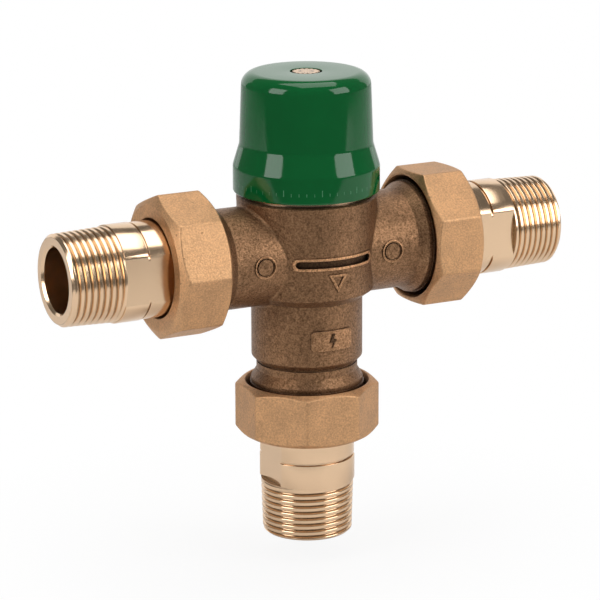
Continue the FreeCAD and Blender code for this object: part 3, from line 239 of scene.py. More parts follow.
class Socket:
    """A shader value: arithmetic on it adds Math nodes to its tree."""

    def __init__(self, tree, output):
        self.tree, self.output = tree, output

    def math(self, operation, *others):
        """This value and the others through one Math node."""
        inputs = dict(enumerate((self, *others)))
        return self.tree.add("ShaderNodeMath", inputs, operation=operation)

    def __add__(self, other):
        return self.math("ADD", other)

    def __sub__(self, other):
        return self.math("SUBTRACT", other)

    def __mul__(self, other):
        return self.math("MULTIPLY", other)

    def __truediv__(self, other):
        return self.math("DIVIDE", other)

    def __lt__(self, other):
        return self.math("LESS_THAN", other)

    def __gt__(self, other):
        return self.math("GREATER_THAN", other)

    __radd__, __rmul__ = __add__, __mul__


class Tree:
    """One material's or world's node tree."""

    def __init__(self, owner):
        self.owner = owner
        owner.use_nodes = True
        self.nodes, self.links = owner.node_tree.nodes, owner.node_tree.links
        self.nodes.clear()

    def add(self, kind, inputs=None, output=0, **settings):
        """A node with its inputs set or linked; gives the named or numbered output."""
        node = self.nodes.new(kind)
        for name, value in settings.items():
            setattr(node, name, value)
        for name, value in (inputs or {}).items():
            if isinstance(value, Socket):
                self.links.new(value.output, node.inputs[name])
            else:
                node.inputs[name].default_value = value
        return Socket(self, node.outputs[output]) if node.outputs else None

    def place(self):
        """Where on its object the surface lies."""
        return self.add("ShaderNodeTexCoord", output="Object")

    def split(self, vector, axis):
        """One number of a vector."""
        return self.add("ShaderNodeSeparateXYZ", {"Vector": vector}, output=axis)

    def round_place(self):
        """The place as x, y, z and its distance from the upright axis."""
        place = self.place()
        x, y, z = (self.split(place, axis) for axis in "XYZ")
        return x, y, z, (x * x + y * y).math("SQRT")

    def grain(self, size, detail=3.0, roughness=0.55):
        """Noise whose cells are about size metres across."""
        inputs = {"Vector": self.place(), "Scale": 1 / size, "Detail": detail, "Roughness": roughness}
        return self.add("ShaderNodeTexNoise", inputs)

    def lines(self, along, scale, detail):
        """Noise that changes only along one axis, as tool lines do."""
        inputs = {"W": along, "Scale": scale, "Detail": detail}
        return self.add("ShaderNodeTexNoise", inputs, noise_dimensions="1D")

    def stretch(self, value, low, high, new_low=0.0, new_high=1.0):
        """The value between low and high carried over to the new range, and held at its ends."""
        inputs = {"Value": value, "From Min": low, "From Max": high, "To Min": new_low, "To Max": new_high}
        return self.add("ShaderNodeMapRange", inputs, clamp=True)

    def blend(self, amount, first, second):
        """Mix two colours."""
        first, second = ((*c, 1) if isinstance(c, tuple) else c for c in (first, second))
        return self.add("ShaderNodeMix", {0: amount, 6: first, 7: second}, output=2, data_type="RGBA")

    def darken(self, base, value):
        """The colour with its brightness multiplied by a value."""
        return self.add("ShaderNodeHueSaturation", {"Color": base, "Value": value})

    def bump(self, height, distance, strength=1.0, normal=None):
        """A normal tilted by a height that counts as the distance in metres."""
        inputs = {"Height": height, "Distance": distance, "Strength": strength}
        if normal:
            inputs["Normal"] = normal
        return self.add("ShaderNodeBump", inputs)

    def crevice_shade(self, reach):
        """Near 0 in corners and grooves narrower than the reach, 1 in the open; used to paint shade into a
        colour.
        """
        return self.add("ShaderNodeAmbientOcclusion", {"Distance": reach}, output="AO", samples=8)

    def finish(self, **inputs):
        """Principled surface; input names are given with underscores for spaces."""
        named = {name.replace("_", " "): value for name, value in inputs.items()}
        named = {k: (*v, 1) if isinstance(v, tuple) and len(v) == 3 else v for k, v in named.items()}
        surface = self.add("ShaderNodeBsdfPrincipled", named)
        self.add("ShaderNodeOutputMaterial", {"Surface": surface})
        return self.owner


def new_tree(name):
    """The node tree of a new material."""
    return Tree(bpy.data.materials.new(name))


def darker(base_colour, factor):
    """A colour with each part multiplied by the factor."""
    return tuple(part * factor for part in base_colour)


def cast_bronze(colours, sizes, name="cast_bronze", lightened=1.0):
    """Shot-blasted sand casting: grainy skin, slow brown patches, painted shade in corners, grooves and
    the slot, and a lighter slot lip and plaque face.
    """
    t = new_tree(name)
    x, y, z, radius = t.round_place()
    above = z - CENTRE_HEIGHT
    off_centre = above.math("ABSOLUTE")
    # Mask of the slot's floor, where painted shade darkens the colour.
    slot = (radius < sizes.slot_floor) * (off_centre < sizes.slot_half) * (y < -3 * MM)
    lip = (radius > sizes.slot_lip) * (off_centre < sizes.slot_half + 0.7 * MM) * (y < -12 * MM)
    lip = lip * (x.math("ABSOLUTE") < sizes.slot_reach)
    plaque = (above + sizes.plaque_drop).math("ABSOLUTE") < sizes.plaque_half
    plaque = plaque * (radius > sizes.plaque_face)
    fine = t.grain(0.5 * MM, 4, 0.65)
    coarse = t.grain(1.3 * MM, 3, 0.55)
    patch = t.grain(9 * MM, 2, 0.5)
    speckle = t.stretch(fine * 0.75 + coarse * 0.25, 0.37, 0.68)
    # Painted shade: ambient occlusion darkens the colour in corners and grooves.
    corner = t.stretch(t.crevice_shade(2.2 * MM), 0.4, 0.9, 0.3, 1.0)
    # shade mixes random tone patches with that painted corner shade.
    shade = t.stretch(patch, 0.3, 0.7, 0.84 * lightened, 1.06 * lightened) * corner
    # Painted shade darkens the slot to 0.4 of its colour; the slot's lip and the plaque face are made 1.45
    # times lighter.
    shade = shade * (slot * -0.6 + 1.0) * (lip.math("MAXIMUM", plaque) * 0.45 + 1.0)
    base = t.blend(speckle, tuple(colours.cast_dark), tuple(colours.cast_light))
    edges = t.add("ShaderNodeBevel", {"Radius": 0.18 * MM}, samples=4)
    skin = t.bump(fine * 0.8 + coarse * 0.6, 0.2 * MM, 0.85, edges)
    rough = t.stretch(fine, 0.35, 0.7, 0.48, 0.34)
    return t.finish(Base_Color=t.darken(base, shade), Metallic=0.85, Roughness=rough, Normal=skin)


def pressed_brass(colours):
    """Matte blasted brass of the nuts, with a few small pits, and painted shade in corners and grooves."""
    t = new_tree("pressed_brass")
    fine = t.grain(0.5 * MM, 3, 0.65)
    patch = t.grain(6 * MM, 2, 0.5)
    pits = t.stretch(t.grain(1.9 * MM, 2, 0.5), 0.285, 0.255)
    # Painted shade: ambient occlusion darkens the colour in corners and grooves.
    corner = t.stretch(t.crevice_shade(1.5 * MM), 0.3, 0.85, 0.45, 1.0)
    nut = tuple(colours.nut)
    base = t.blend(t.stretch(fine * 0.7 + patch * 0.3, 0.38, 0.62), darker(nut, 0.66), nut)
    base = t.blend(pits * 0.6, base, darker(nut, 0.4))
    skin = t.bump(fine - pits * 0.8, 0.12 * MM, 0.7)
    rough = t.stretch(patch, 0.3, 0.7, 0.48, 0.56)
    return t.finish(Base_Color=t.darken(base, corner), Metallic=0.95, Roughness=rough, Normal=skin)


def turned_brass(name, base_colour, axis, roughness=0.17):
    """Bright lathe-turned brass with painted shade in grooves; tool lines run round the given axis."""
    t = new_tree(name)
    along = t.split(t.place(), axis)
    fine, slow = t.lines(along, 9000.0, 2.0), t.lines(along, 900.0, 1.0)
    patch = t.grain(11 * MM, 2, 0.5)
    base = t.blend(t.stretch(patch, 0.3, 0.7), darker(base_colour, 0.9), base_colour)
    # Painted shade: ambient occlusion darkens the colour in thread grooves and corners.
    base = t.darken(base, t.stretch(t.crevice_shade(0.9 * MM), 0.3, 0.75, 0.5, 1.0))
    skin = t.bump(fine * 0.7 + slow * 0.6, 0.012 * MM, 0.5)
    rough = t.stretch(fine * 0.5 + patch * 0.5, 0.3, 0.7, roughness - 0.04, roughness + 0.07)
    return t.finish(Base_Color=base, Metallic=1.0, Roughness=rough, Normal=skin)


def cap_plastic(colours, foot, top):
    """Glossy green moulding with a ring of pale generic ticks round the skirt, and painted shade in the
    sunk ring round the spindle.
    """
    t = new_tree("cap_plastic")
    x, y, z, radius = t.round_place()
    turn = y.math("ARCTAN2", x) / math.tau + 1.0
    low = foot + 2.4 * MM

    def ticks(number, half_width, height):
        """Upright strokes: how many, half of one's share of a step, and its height."""
        stroke = (turn * number).math("FRACT").math("SUBTRACT", 0.5).math("ABSOLUTE") < half_width
        return stroke * (z > low) * (z < low + height)

    # The pale ink of the ticks is patchy, its strength following a fine grain.
    lightened = t.stretch(t.grain(0.7 * MM, 3, 0.6), 0.3, 0.6, 0.35, 0.8)
    ink = ticks(60.0, 0.045, 0.9 * MM).math("MAXIMUM", ticks(12.0, 0.012, 1.8 * MM)) * lightened
    swirl = t.stretch(t.grain(14 * MM, 2, 0.5), 0.3, 0.7)
    cap = tuple(colours.cap)
    base = t.blend(swirl, darker(cap, 0.9), cap)
    base = t.blend(ink, base, tuple(colours.tick))
    # Painted shade: the sunk ring round the spindle and the cap's hidden inside are painted near black.
    recess_shade = (radius < 4.7 * MM) * (z < top - 0.15 * MM)
    base = t.blend(recess_shade * 0.85, base, (0.006, 0.006, 0.005))
    skin = t.bump(t.grain(3.5 * MM, 2, 0.5), 0.03 * MM, 0.25)
    rough = t.stretch(t.grain(2 * MM, 3, 0.6), 0.3, 0.7, 0.06, 0.1) + ink * 0.3
    return t.finish(Base_Color=base, Roughness=rough, Normal=skin, IOR=1.42)


def splined_brass(base_colour, tip, sizes):
    """Turned brass with painted shade standing for notches between the splines on the spindle's end."""
    t = new_tree("splined_brass")
    x, y, z, radius = t.round_place()
    turn = (y.math("ARCTAN2", x) / math.tau + 1.0) * sizes.tooth_count
    # Painted shade: near-black marks between the splines, where the notches would lie in shade.
    notch_shade = turn.math("FRACT").math("SUBTRACT", 0.19).math("ABSOLUTE") < 0.3
    notch_shade = notch_shade * (radius > 1.4 * MM) * (radius < 2.3 * MM) * (z > tip - 0.3 * MM)
    fine = t.grain(0.4 * MM, 3, 0.6)
    base = t.blend(t.stretch(fine, 0.3, 0.7), darker(base_colour, 0.75), base_colour)
    base = t.blend(notch_shade * 0.9, base, (0.035, 0.02, 0.014))
    rough = t.stretch(fine, 0.3, 0.7, 0.26, 0.36)
    skin = t.bump(fine, 0.02 * MM, 0.5)
    return t.finish(Base_Color=base, Metallic=1.0, Roughness=rough, Normal=skin)


def satin(name, base_colour, roughness, metallic=0.0, cell=0.4 * MM, depth=0.02 * MM):
    """Fine-grained finish for the small inner pieces."""
    t = new_tree(name)
    fine = t.grain(cell, 3, 0.6)
    patch = t.grain(5 * MM, 2, 0.5)
    mottle = t.stretch(fine * 0.4 + patch * 0.6, 0.35, 0.65)
    base = t.blend(mottle, darker(base_colour, 0.82), base_colour)
    rough = t.stretch(patch, 0.3, 0.7, roughness - 0.05, roughness + 0.06)
    skin = t.bump(fine, depth, 0.6)
    return t.finish(Base_Color=base, Metallic=metallic, Roughness=rough, Normal=skin)


# ---------------------------------------------------------------- mesh building


def everything(bm):
    """All of a shape, as an operator's geometry."""
    return bm.verts[:] + bm.edges[:] + bm.faces[:]


def verts_of(result):
    """The vertices among what an operator made."""
    return [item for item in result["geom"] if isinstance(item, bmesh.types.BMVert)]


def distance_out(vert):
    """How far a vertex lies from the Z axis."""
    return math.hypot(vert.co.x, vert.co.y)


def set_radius(vert, radius):
    """Move a vertex straight out or in, to the given distance from the Z axis."""
    flat = distance_out(vert)
    vert.co.x *= radius / flat
    vert.co.y *= radius / flat


def spin_round(bm, outline, steps, closed=False):
    """Turn a chain of (radius, height) points right round Z."""
    chain = [bm.verts.new((radius, 0, height)) for radius, height in outline]
    pairs = list(zip(chain, chain[1:])) + ([(chain[-1], chain[0])] if closed else [])
    edges = [bm.edges.new(pair) for pair in pairs]
    bmesh.ops.spin(
        bm, geom=chain + edges, cent=(0, 0, 0), axis=(0, 0, 1), angle=math.tau, steps=steps, use_merge=True
    )


def rounded(corners, segments=8):
    """Replace each (radius, height, round) corner of a chain by an arc of that rounding."""
    points = []
    for index, (x, y, round_radius) in enumerate(corners):
        if not round_radius:
            points.append((x, y))
            continue
        here = Vector((x, y))
        before = (Vector(corners[index - 1][:2]) - here).normalized()
        after = (Vector(corners[(index + 1) % len(corners)][:2]) - here).normalized()
        half = before.angle(after) / 2
        reach = round_radius / math.tan(half)
        centre = here + (before + after).normalized() * (round_radius / math.sin(half))
        start = here + before * reach - centre
        end = here + after * reach - centre
        sweep = start.angle(end)
        for step in range(segments + 1):
            part = step / segments
            spoke = start * (math.sin((1 - part) * sweep)) + end * math.sin(part * sweep)
            points.append(tuple(centre + spoke / math.sin(sweep)))
    return points


def soft_min(first, second, softness):
    """The smaller of two numbers, with a rounded change-over."""
    overlap = max(softness - abs(first - second), 0) / softness
    return min(first, second) - overlap * overlap * softness / 4


def finish_mesh(bm, name, material, matrix=Matrix.Identity(4), smooth_angle=30):
    """Merge, face outwards, place and link the mesh as an object at the origin."""
    bmesh.ops.remove_doubles(bm, verts=bm.verts, dist=1e-7)
    bmesh.ops.recalc_face_normals(bm, faces=bm.faces)
    bmesh.ops.transform(bm, matrix=matrix, verts=bm.verts)
    mesh = bpy.data.meshes.new(name)
    bm.to_mesh(mesh)
    bm.free()
    mesh.materials.append(material)
    piece = bpy.data.objects.new(name, mesh)
    bpy.context.scene.collection.objects.link(piece)
    mesh.shade_smooth()
    mesh.set_sharp_from_angle(angle=math.radians(smooth_angle))
    return piece


def join(bm, other):
    """Add the other shape's faces, turned outwards, and drop it."""
    bmesh.ops.recalc_face_normals(other, faces=other.faces)
    carrier = bpy.data.meshes.new("carrier")
    other.to_mesh(carrier)
    other.free()
    bm.from_mesh(carrier)
    bpy.data.meshes.remove(carrier)


def attach(piece, body, slot, *nodes):
    """Let the piece ride on its body and hide the nodes it stands for; the material slot is not used."""
    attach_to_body(piece, body)
    if nodes:
        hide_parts(*nodes)


def put_on_ports(bm, sizes, kind, slot, node, finishes, smooth_angle=30):
    """A copy of the shape on each port, turned as the sizes say, in place of the port's node."""
    for port, matrix in PORTS.items():
        turn = Matrix.Rotation(getattr(sizes, f"{port}_turn"), 4, "Z")
        name = f"{port}_{kind}_visual"
        piece = finish_mesh(bm.copy(), name, finishes[port], matrix @ turn, smooth_angle)
        attach(piece, f"{port}_{kind}", slot, f"{port}_{node}")
    bm.free()


def thread_outline(sizes):
    """One pitch of the thread as (radius, distance): land, rounded groove, edge of the next land."""
    radius, pitch = sizes.crest_radius, sizes.pitch
    land = pitch - sizes.groove_width
    middle = land + sizes.groove_width / 2
    ease, root = 0.13 * MM, 0.09 * MM
    edge = radius - ease * 0.5
    deep = radius - sizes.groove_depth
    return [
        (edge, 0),
        (radius, ease),
        (radius, land / 2),
        (radius, land - ease),
        (edge, land),
        (deep + root * 0.4, middle - root),
        (deep, middle),
        (deep + root * 0.4, middle + root),
        (edge, pitch),
    ]


def add_thread(bm, sizes):
    """Right-hand tapered thread from the pipe end to the collar, trimmed square at both ends."""
    length, pitch = sizes.thread_length, sizes.pitch
    turns = math.ceil(length / pitch) + 2
    start = -1.45 * pitch
    chain = [bm.verts.new((radius, 0, start + far)) for radius, far in thread_outline(sizes)]
    edges = [bm.edges.new(pair) for pair in zip(chain, chain[1:])]
    bmesh.ops.spin(
        bm, geom=chain + edges, cent=(0, 0, 0), axis=(0, 0, 1), dvec=(0, 0, pitch / sizes.steps),
        angle=math.tau, steps=sizes.steps,
    )
    one_turn = everything(bm)
    for turn in range(1, turns):
        copy = verts_of(bmesh.ops.duplicate(bm, geom=one_turn))
        bmesh.ops.translate(bm, verts=copy, vec=(0, 0, turn * pitch))
    bmesh.ops.remove_doubles(bm, verts=bm.verts, dist=2e-6)
    for level, away in ((0.0, (0, 0, -1)), (length, (0, 0, 1))):
        bmesh.ops.bisect_plane(
            bm, geom=everything(bm), plane_co=(0, 0, level), plane_no=away, clear_outer=True
        )
    run_out = pitch * 0.7
    for vert in bm.verts:
        taper = (length - vert.co.z) * THREAD_TAPER
        radius = distance_out(vert) - taper
        crest = sizes.crest_radius - taper
        fade = (vert.co.z - length + run_out) / run_out
        radius += (crest - radius) * min(max(fade, 0), 1)
        chamfer = sizes.end_radius + vert.co.z * THREAD_CHAMFER
        set_radius(vert, soft_min(radius, chamfer, 0.12 * MM))
    last = length - 0.001 * MM
    rim = [edge for edge in bm.edges if edge.is_boundary and all(v.co.z > last for v in edge.verts)]
    for vert in verts_of(bmesh.ops.extrude_edge_only(bm, edges=rim)):
        set_radius(vert, sizes.flat_distance - 0.2 * MM)


def tail_outline(sizes):
    """Bore, end face, hidden core under the thread, collar, turned line, stem and flange."""
    core = sizes.end_radius - 0.05 * MM
    ease = 0.12 * MM
    ring_end = sizes.ring_start + 0.55 * MM
    ring = sizes.stem_radius - sizes.ring_depth
    bore, length = sizes.bore_radius, sizes.thread_length
    return rounded(
        [
            (bore, TAIL_LENGTH, 0),
            (bore, 0.7 * MM, 0.1 * MM),
            (bore + 0.7 * MM, 0, 0.1 * MM),
            (core, 0, 0),
            (core, length - 0.02 * MM, 0),
            (sizes.collar_radius, length, ease),
            (sizes.collar_radius, sizes.ring_start, ease),
            (ring, sizes.ring_start + 0.1 * MM, 0),
            (ring, ring_end, 0),
            (sizes.stem_radius, ring_end + 0.1 * MM, ease),
            (sizes.stem_radius, sizes.flat_end - 0.01 * MM, 0),
            (sizes.stem_radius, sizes.flat_end, 0),
            (sizes.stem_radius, sizes.flange_start, 0),
            (FLANGE_RADIUS, sizes.flange_start, ease),
            (FLANGE_RADIUS, TAIL_LENGTH, ease),
        ],
        4,
    )


def cut_flats(bm, sizes):
    """Press the two wrench flats into the collar and stem."""
    for vert in bm.verts:
        in_length = sizes.thread_length - 0.01 * MM < vert.co.z < sizes.flat_end - 0.005 * MM
        outside = distance_out(vert) > sizes.end_radius
        if in_length and outside and abs(vert.co.y) > sizes.flat_distance:
            vert.co.y = math.copysign(sizes.flat_distance, vert.co.y)


def nut_radius(sizes, turn, height):
    """Radius of the nut's outside at an angle and height, edges softened as pressed."""
    side = math.tau / NUT_SIDES
    soft = sizes.edge_softness
    off = (turn % side) - side / 2
    first = sizes.flat_distance / math.cos(abs(off) - side / 2)
    second = sizes.flat_distance / math.cos(abs(off) + side / 2)
    radius = soft_min(first, second, soft)
    radius = soft_min(radius, sizes.outer_radius + (height - NUT_START) * BEVEL_SLOPE, soft)
    return soft_min(radius, sizes.inner_radius + (NUT_END - height) * BEVEL_SLOPE, soft)


def nut_rows(low, high):
    """Heights of the outside's rings, close together where the bevels are."""
    near = [0, 0.08, 0.17, 0.28, 0.4, 0.53, 0.67, 0.82, 0.98, 1.16, 1.36, 1.6, 1.9, 2.3, 2.9]
    start = [low + far * MM for far in (*near, 4, 5.5, 7.8)]
    return start + [high - far * MM for far in reversed((*near, 4, 5.5))]


# ---------------------------------------------------------------- operators


class VALVE_OT_tails(bpy.types.Operator):
    """Turn the three threaded tailpieces"""

    bl_idname = "valve.tails"
    bl_label = "Tailpieces"

    def execute(self, context):
        sizes = context.scene.valve_tail
        base = tuple(context.scene.valve_colours.tail)
        along_x, along_z = (turned_brass(f"tail_brass_{axis}", base, axis) for axis in "XZ")
        bm = bmesh.new()
        spin_round(bm, tail_outline(sizes), sizes.steps)
        cut_flats(bm, sizes)
        thread = bmesh.new()
        add_thread(thread, sizes)
        join(bm, thread)
        finishes = {"hot": along_x, "cold": along_x, "mixed": along_z}
        put_on_ports(bm, sizes, "tail", "turned_brass", "tailpiece", finishes, 22)
        return {"FINISHED"}


class VALVE_OT_nuts(bpy.types.Operator):
    """Press the three octagonal union nuts"""

    bl_idname = "valve.nuts"
    bl_label = "Union nuts"

    def execute(self, context):
        sizes = context.scene.valve_nut
        material = pressed_brass(context.scene.valve_colours)
        hole, bore, lip = sizes.hole_radius, sizes.bore_radius, NUT_START + sizes.lip
        ease = 0.25 * MM
        bm = bmesh.new()
        outside = [(sizes.flat_distance, row) for row in nut_rows(NUT_START, NUT_END)]
        inside = rounded(
            [
                (sizes.inner_radius - 0.01 * MM, NUT_END, 0),
                (sizes.mouth_radius, NUT_END, ease),
                (bore, NUT_END - sizes.mouth_depth, 0.1 * MM),
                (bore, lip, 0),
                (hole, lip, 0),
                (hole, NUT_START, ease),
                (sizes.outer_radius - 0.6 * MM, NUT_START, 0),
            ],
            4,
        )
        spin_round(bm, outside + inside, sizes.steps, closed=True)
        first_corner = math.radians(22.5) + math.pi / 2
        for vert in bm.verts:
            if abs(distance_out(vert) - sizes.flat_distance) < 0.001 * MM:
                turn = math.atan2(vert.co.y, vert.co.x) + first_corner
                set_radius(vert, nut_radius(sizes, turn, vert.co.z))
        put_on_ports(bm, sizes, "nut", "nut_brass", "union_nut", dict.fromkeys(PORTS, material))
        return {"FINISHED"}


class VALVE_OT_cap(bpy.types.Operator):
    """Mould the green adjusting cap"""

    bl_idname = "valve.cap"
    bl_label = "Adjusting cap"

    def execute(self, context):
        s = context.scene.valve_cap
        foot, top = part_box("cap")[0].z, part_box("cap")[1].z
        roof = top - s.roof
        inner_top = s.top_radius - s.wall
        outline = rounded(
            [
                (s.skirt_radius, foot, 0.6 * MM),
                (s.skirt_radius, foot + s.skirt_height, s.shoulder_round),
                (s.waist_radius, foot + s.waist_height, s.waist_round),
                (s.top_radius, top, s.top_round),
                (s.recess_radius, top, 0.15 * MM),
                (s.recess_radius, top - s.recess_depth, 0),
                (s.hole_radius, top - s.recess_depth, 0.1 * MM),
                (s.hole_radius, foot + s.hub_height, 0),
                (s.hub_radius, foot + s.hub_height, 0.2 * MM),
                (s.hub_radius, roof, 0),
                (inner_top, roof, 2 * MM),
                (s.waist_radius - s.wall, foot + s.waist_height, 0),
                (s.skirt_radius - s.wall, foot + s.skirt_height, 0),
                (s.skirt_radius - s.wall, foot, 0.2 * MM),
            ],
            12,
        )
        bm = bmesh.new()
        spin_round(bm, outline, s.steps, closed=True)
        material = cap_plastic(context.scene.valve_colours, foot, top)
        piece = finish_mesh(bm, "cap_visual", material)
        attach(piece, "adjuster", "cap_plastic", "cap")
        self.tip(s)
        return {"FINISHED"}

    def tip(self, s):
        """The spindle's splined end, standing in the cap's sunk ring."""
        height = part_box("spindle")[1].z
        bm = bmesh.new()
        made = bmesh.ops.create_circle(bm, segments=s.tooth_count * 8, radius=s.tooth_tip, cap_ends=True)
        for index, vert in enumerate(made["verts"]):
            set_radius(vert, s.tooth_root if index % 8 in (0, 1, 2) else s.tooth_tip)
        lower = verts_of(bmesh.ops.extrude_face_region(bm, geom=bm.faces[:]))
        bmesh.ops.translate(bm, verts=lower, vec=(0, 0, -s.recess_depth))
        bmesh.ops.translate(bm, verts=bm.verts, vec=(0, 0, height + 0.02 * MM))
        piece = finish_mesh(bm, "spindle_tip", bpy.data.materials["splined_brass"])
        attach(piece, "adjuster", "turned_brass")


class VALVE_OT_marks(bpy.types.Operator):
    """Raise the cast marks on the front of the body"""

    bl_idname = "valve.marks"
    bl_label = "Cast marks"

    def execute(self, context):
        s = context.scene.valve_marks
        # Raised marks: the triangle, disc rims and slot rim are made 1.75 times lighter than the casting,
        # and the plaque's mark 0.3 times as light.
        lightened, dimmed = (
            cast_bronze(context.scene.valve_colours, s, name, level)
            for name, level in (("worn_bronze", 1.75), ("stained_bronze", 0.3))
        )
        half, top = s.triangle_width / 2, -s.triangle_top
        triangle = [(-half, top), (half, top), (0, top - s.triangle_height)]
        self.raised("flow_triangle", triangle, s, lightened, hollow=True)
        zigzag = [
            (0.5, 2.0), (-0.3, 0.3), (0.9, 0.3), (-0.4, -2.0), (0.0, -0.35), (-1.1, -0.35), (-0.2, 2.0),
        ]
        zigzag = [(x * MM, z * MM - s.plaque_drop) for x, z in zigzag]
        self.raised("plaque_mark", zigzag, s, dimmed)
        for side, name in ((-1, "hot_disc_rim"), (1, "cold_disc_rim")):
            turns = [math.tau * step / 32 for step in range(32)]
            middle = side * s.disc_offset
            ring = [(middle + s.disc_rim * math.cos(t), s.disc_rim * math.sin(t)) for t in turns]
            self.raised(name, ring, s, lightened, hollow=True)
        high, reach = s.slot_half + 0.55 * MM, s.slot_reach - 0.3 * MM
        ends = ((-reach, -high), (reach, -high), (reach, high), (-reach, high))
        lip = rounded([(x, z, high - 0.01 * MM) for x, z in ends], 6)
        self.raised("slot_rim", lip, s, lightened, hollow=True, floor=s.slot_lip + 0.12 * MM)
        return {"FINISHED"}

    def raised(self, name, corners, sizes, material, hollow=False, floor=0.0):
        """A low mark with the given outline on the casting's front, or on a round floor's radius."""
        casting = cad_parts["valve_body"]
        in_front = CAD_BOX[0][1] - 5 * MM
        outer = -0.12 * MM if floor else -sizes.proud
        inner = 0.3 * MM
        bm = bmesh.new()
        face = bm.faces.new([bm.verts.new((x, z, 0)) for x, z in corners])
        if hollow:
            bm.normal_update()
            bmesh.ops.inset_individual(
                bm, faces=[face], thickness=sizes.line_width, use_even_offset=True
            )
            bmesh.ops.delete(bm, geom=[face], context="FACES_ONLY")
        bmesh.ops.triangulate(bm, faces=bm.faces)
        bmesh.ops.subdivide_edges(bm, edges=bm.edges, cuts=7, use_grid_fill=True)
        made = bmesh.ops.extrude_face_region(bm, geom=bm.faces[:], use_keep_orig=True)
        for vert in verts_of(made):
            vert.co.z = 1
        for vert in bm.verts:
            x, height, level = vert.co
            start = Vector((x, in_front, CENTRE_HEIGHT + height))
            hit, place, *_ = casting.ray_cast(start, (0, 1, 0))
            if not hit:
                raise RuntimeError(f"{name} lies off the casting")
            if floor:
                place.y = -math.sqrt(floor * floor - x * x)
            place.y += outer if level > 0.5 else inner
            vert.co = place
        piece = finish_mesh(bm, name, material)
        attach(piece, "valve", "cast_bronze")


class VALVE_OT_finishes(bpy.types.Operator):
    """Give every packed node that stays its own finish"""

    bl_idname = "valve.finishes"
    bl_label = "Finishes of the kept pieces"

    def execute(self, context):
        colours = context.scene.valve_colours
        tail = tuple(colours.tail)
        steel = satin("spring_steel", (0.55, 0.55, 0.54), 0.28, 1.0, 0.2 * MM, 0.008 * MM)
        rubber = satin("seal_rubber", (0.018, 0.018, 0.019), 0.6)
        acetal = satin("white_polymer", (0.72, 0.71, 0.67), 0.4)
        dark = satin("shuttle_polymer", (0.05, 0.05, 0.055), 0.42)
        inner = turned_brass("inner_brass", tail, "Z", 0.2)
        finishes = {
            cast_bronze(colours, context.scene.valve_marks): ["valve_body"],
            inner: ["bonnet", "spring_carrier", "plunger", "element_guide"],
            splined_brass(tail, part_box("spindle")[1].z, context.scene.valve_cap): ["spindle"],
            satin("drawn_copper", (0.72, 0.33, 0.19), 0.3, 1.0): ["element_cup"],
            steel: [
                "spindle_clip", "plunger_stop_ring", "override_spring", "element_rod", "spring_seat",
                "seat_retaining_ring", "return_spring", "hot_check_spring", "cold_check_spring",
                "hot_strainer", "cold_strainer",
            ],
            rubber: [
                "bonnet_o_ring", "spindle_o_ring", "shuttle_o_ring", "hot_check_o_ring",
                "cold_check_o_ring",
            ],
            acetal: ["hot_check_housing", "cold_check_housing"],
            dark: ["shuttle", "hot_check_poppet", "cold_check_poppet"],
            satin("gasket_fibre", (0.05, 0.08, 0.06), 0.7): ["hot_gasket", "cold_gasket", "mixed_gasket"],
        }
        for material, nodes in finishes.items():
            for name in nodes:
                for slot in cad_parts[name].material_slots:
                    slot.material = material
        return {"FINISHED"}


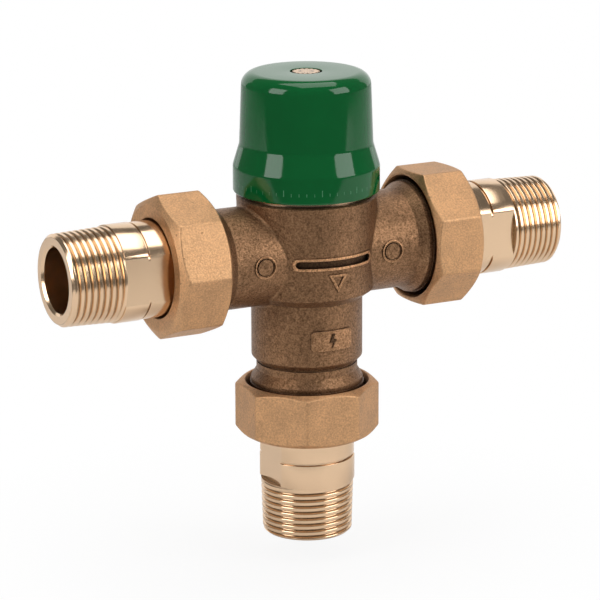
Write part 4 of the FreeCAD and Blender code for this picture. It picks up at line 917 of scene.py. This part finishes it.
class VALVE_OT_stage(bpy.types.Operator):
    """Set the pale floor, soft lights and camera"""

    bl_idname = "valve.stage"
    bl_label = "Stage"

    def execute(self, context):
        scene = context.scene
        bm = bmesh.new()
        bmesh.ops.create_grid(bm, x_segments=1, y_segments=1, size=FLOOR_HALF)
        bmesh.ops.translate(bm, verts=bm.verts, vec=(0, FLOOR_HALF - FLOOR_FRONT, -FLOOR_DEPTH))
        square = Matrix.Rotation(-math.atan2(CAMERA_VIEW.x, CAMERA_VIEW.y), 4, "Z")
        bmesh.ops.transform(bm, matrix=square, verts=bm.verts)
        mesh = bpy.data.meshes.new("floor")
        bm.to_mesh(mesh)
        bm.free()
        floor = bpy.data.objects.new("floor", mesh)
        scene.collection.objects.link(floor)
        mesh.materials.append(self.floor_material(tuple(scene.valve_colours.floor)))
        self.light_world()
        for name, setting in LAMPS.items():
            self.lamp(name, *setting)
        self.place_camera(scene)
        scene.view_settings.view_transform = "Standard"
        return {"FINISHED"}

    def lamp(self, name, turn, rise, far, size, brightness):
        """Panel lamp facing the middle of the valve, set as the table of lamps says."""
        turn, rise = math.radians(turn), math.radians(rise)
        level = math.cos(rise) * far
        target = Vector((0, 0, CENTRE_HEIGHT))
        offset = Vector((math.sin(turn) * level, -math.cos(turn) * level, math.sin(rise) * far))
        panel = bpy.data.lights.new(name, "AREA")
        panel.shape, panel.size, panel.size_y = "RECTANGLE", *size
        panel.energy = brightness * math.pi * size[0] * size[1]
        light = bpy.data.objects.new(name, panel)
        facing = (-offset).to_track_quat("-Z", "Y").to_matrix().to_4x4()
        light.matrix_world = Matrix.Translation(target + offset) @ facing
        light.visible_camera = False
        bpy.context.scene.collection.objects.link(light)

    def floor_material(self, colour_value):
        """Pale paint that fades to plain white away from the valve when seen directly."""
        t = new_tree("floor")
        seen = t.add("ShaderNodeLightPath", output="Is Camera Ray")
        paint = t.add("ShaderNodeBsdfDiffuse", {"Color": (*colour_value, 1)})
        glow = t.add("ShaderNodeEmission", {"Color": (1, 1, 1, 1), "Strength": 1.0})
        far = t.add("ShaderNodeVectorMath", {0: t.place()}, output="Value", operation="LENGTH")
        white = seen * t.stretch(far, 0.03, 0.12, 0.9, 1.0)
        both = t.add("ShaderNodeMixShader", {0: white, 1: paint, 2: glow})
        t.add("ShaderNodeOutputMaterial", {"Surface": both})
        return t.owner

    def light_world(self):
        """White where it is seen, faint in reflections and as light."""
        world = bpy.data.worlds.new("studio")
        bpy.context.scene.world = world
        t = Tree(world)
        camera, glossy, through = (
            t.add("ShaderNodeLightPath", output=f"Is {kind} Ray")
            for kind in ("Camera", "Glossy", "Transmission")
        )
        seen = camera.math("MAXIMUM", glossy * 0.1).math("MAXIMUM", through)
        dim, pale = (
            t.add("ShaderNodeBackground", {"Color": (1, 1, 1, 1), "Strength": strength})
            for strength in (0.06, 1.0)
        )
        both = t.add("ShaderNodeMixShader", {0: seen, 1: dim, 2: pale})
        t.add("ShaderNodeOutputWorld", {"Surface": both})

    def place_camera(self, scene):
        """Camera in front of the hot side, looking down a little."""
        data = bpy.data.cameras.new("camera")
        data.lens, data.sensor_width, data.clip_start = CAMERA_LENS, 36.0, 0.01
        camera = bpy.data.objects.new("camera", data)
        scene.collection.objects.link(camera)
        scene.camera = camera
        forward = CAMERA_VIEW.normalized()
        right = forward.cross(Vector((0, 0, 1))).normalized()
        up = right.cross(forward)
        axes = Matrix((right, up, -forward)).transposed() @ Matrix.Rotation(CAMERA_ROLL, 3, "Z")
        camera.matrix_world = Matrix.Translation(CAMERA_PLACE) @ axes.to_4x4()


class VALVE_PT_panel(bpy.types.Panel):
    """Lists the valve's operators, sizes and colours"""

    bl_label = "Mixing valve"
    bl_space_type = "VIEW_3D"
    bl_region_type = "UI"
    bl_category = "Mixing valve"

    def draw(self, context):
        for operator in OPERATORS:
            self.layout.operator(operator.bl_idname)
        for name, group in GROUPS.items():
            box = self.layout.box()
            box.label(text=group.__doc__)
            for size in group.__annotations__:
                box.prop(getattr(context.scene, name), size)


GROUPS = {
    "valve_tail": TailSizes,
    "valve_nut": NutSizes,
    "valve_cap": CapSizes,
    "valve_marks": MarkSizes,
    "valve_colours": Colours,
}
OPERATORS = (
    VALVE_OT_stage, VALVE_OT_finishes, VALVE_OT_tails, VALVE_OT_nuts, VALVE_OT_cap, VALVE_OT_marks,
)


def register():
    """Register the add-on's classes and hang its property groups on the scene."""
    for group in GROUPS.values():
        bpy.utils.register_class(group)
    for name, group in GROUPS.items():
        setattr(bpy.types.Scene, name, bpy.props.PointerProperty(type=group))
    for operator in (*OPERATORS, VALVE_PT_panel):
        bpy.utils.register_class(operator)


def unregister():
    """Take back what register added."""
    for operator in (*OPERATORS, VALVE_PT_panel):
        bpy.utils.unregister_class(operator)
    for name, group in GROUPS.items():
        delattr(bpy.types.Scene, name)
        bpy.utils.unregister_class(group)


def main():
    """Build everything in order."""
    register()
    for operator in OPERATORS:
        group, name = operator.bl_idname.split(".")
        getattr(getattr(bpy.ops, group), name)()


if __name__ == "__main__":
    main()
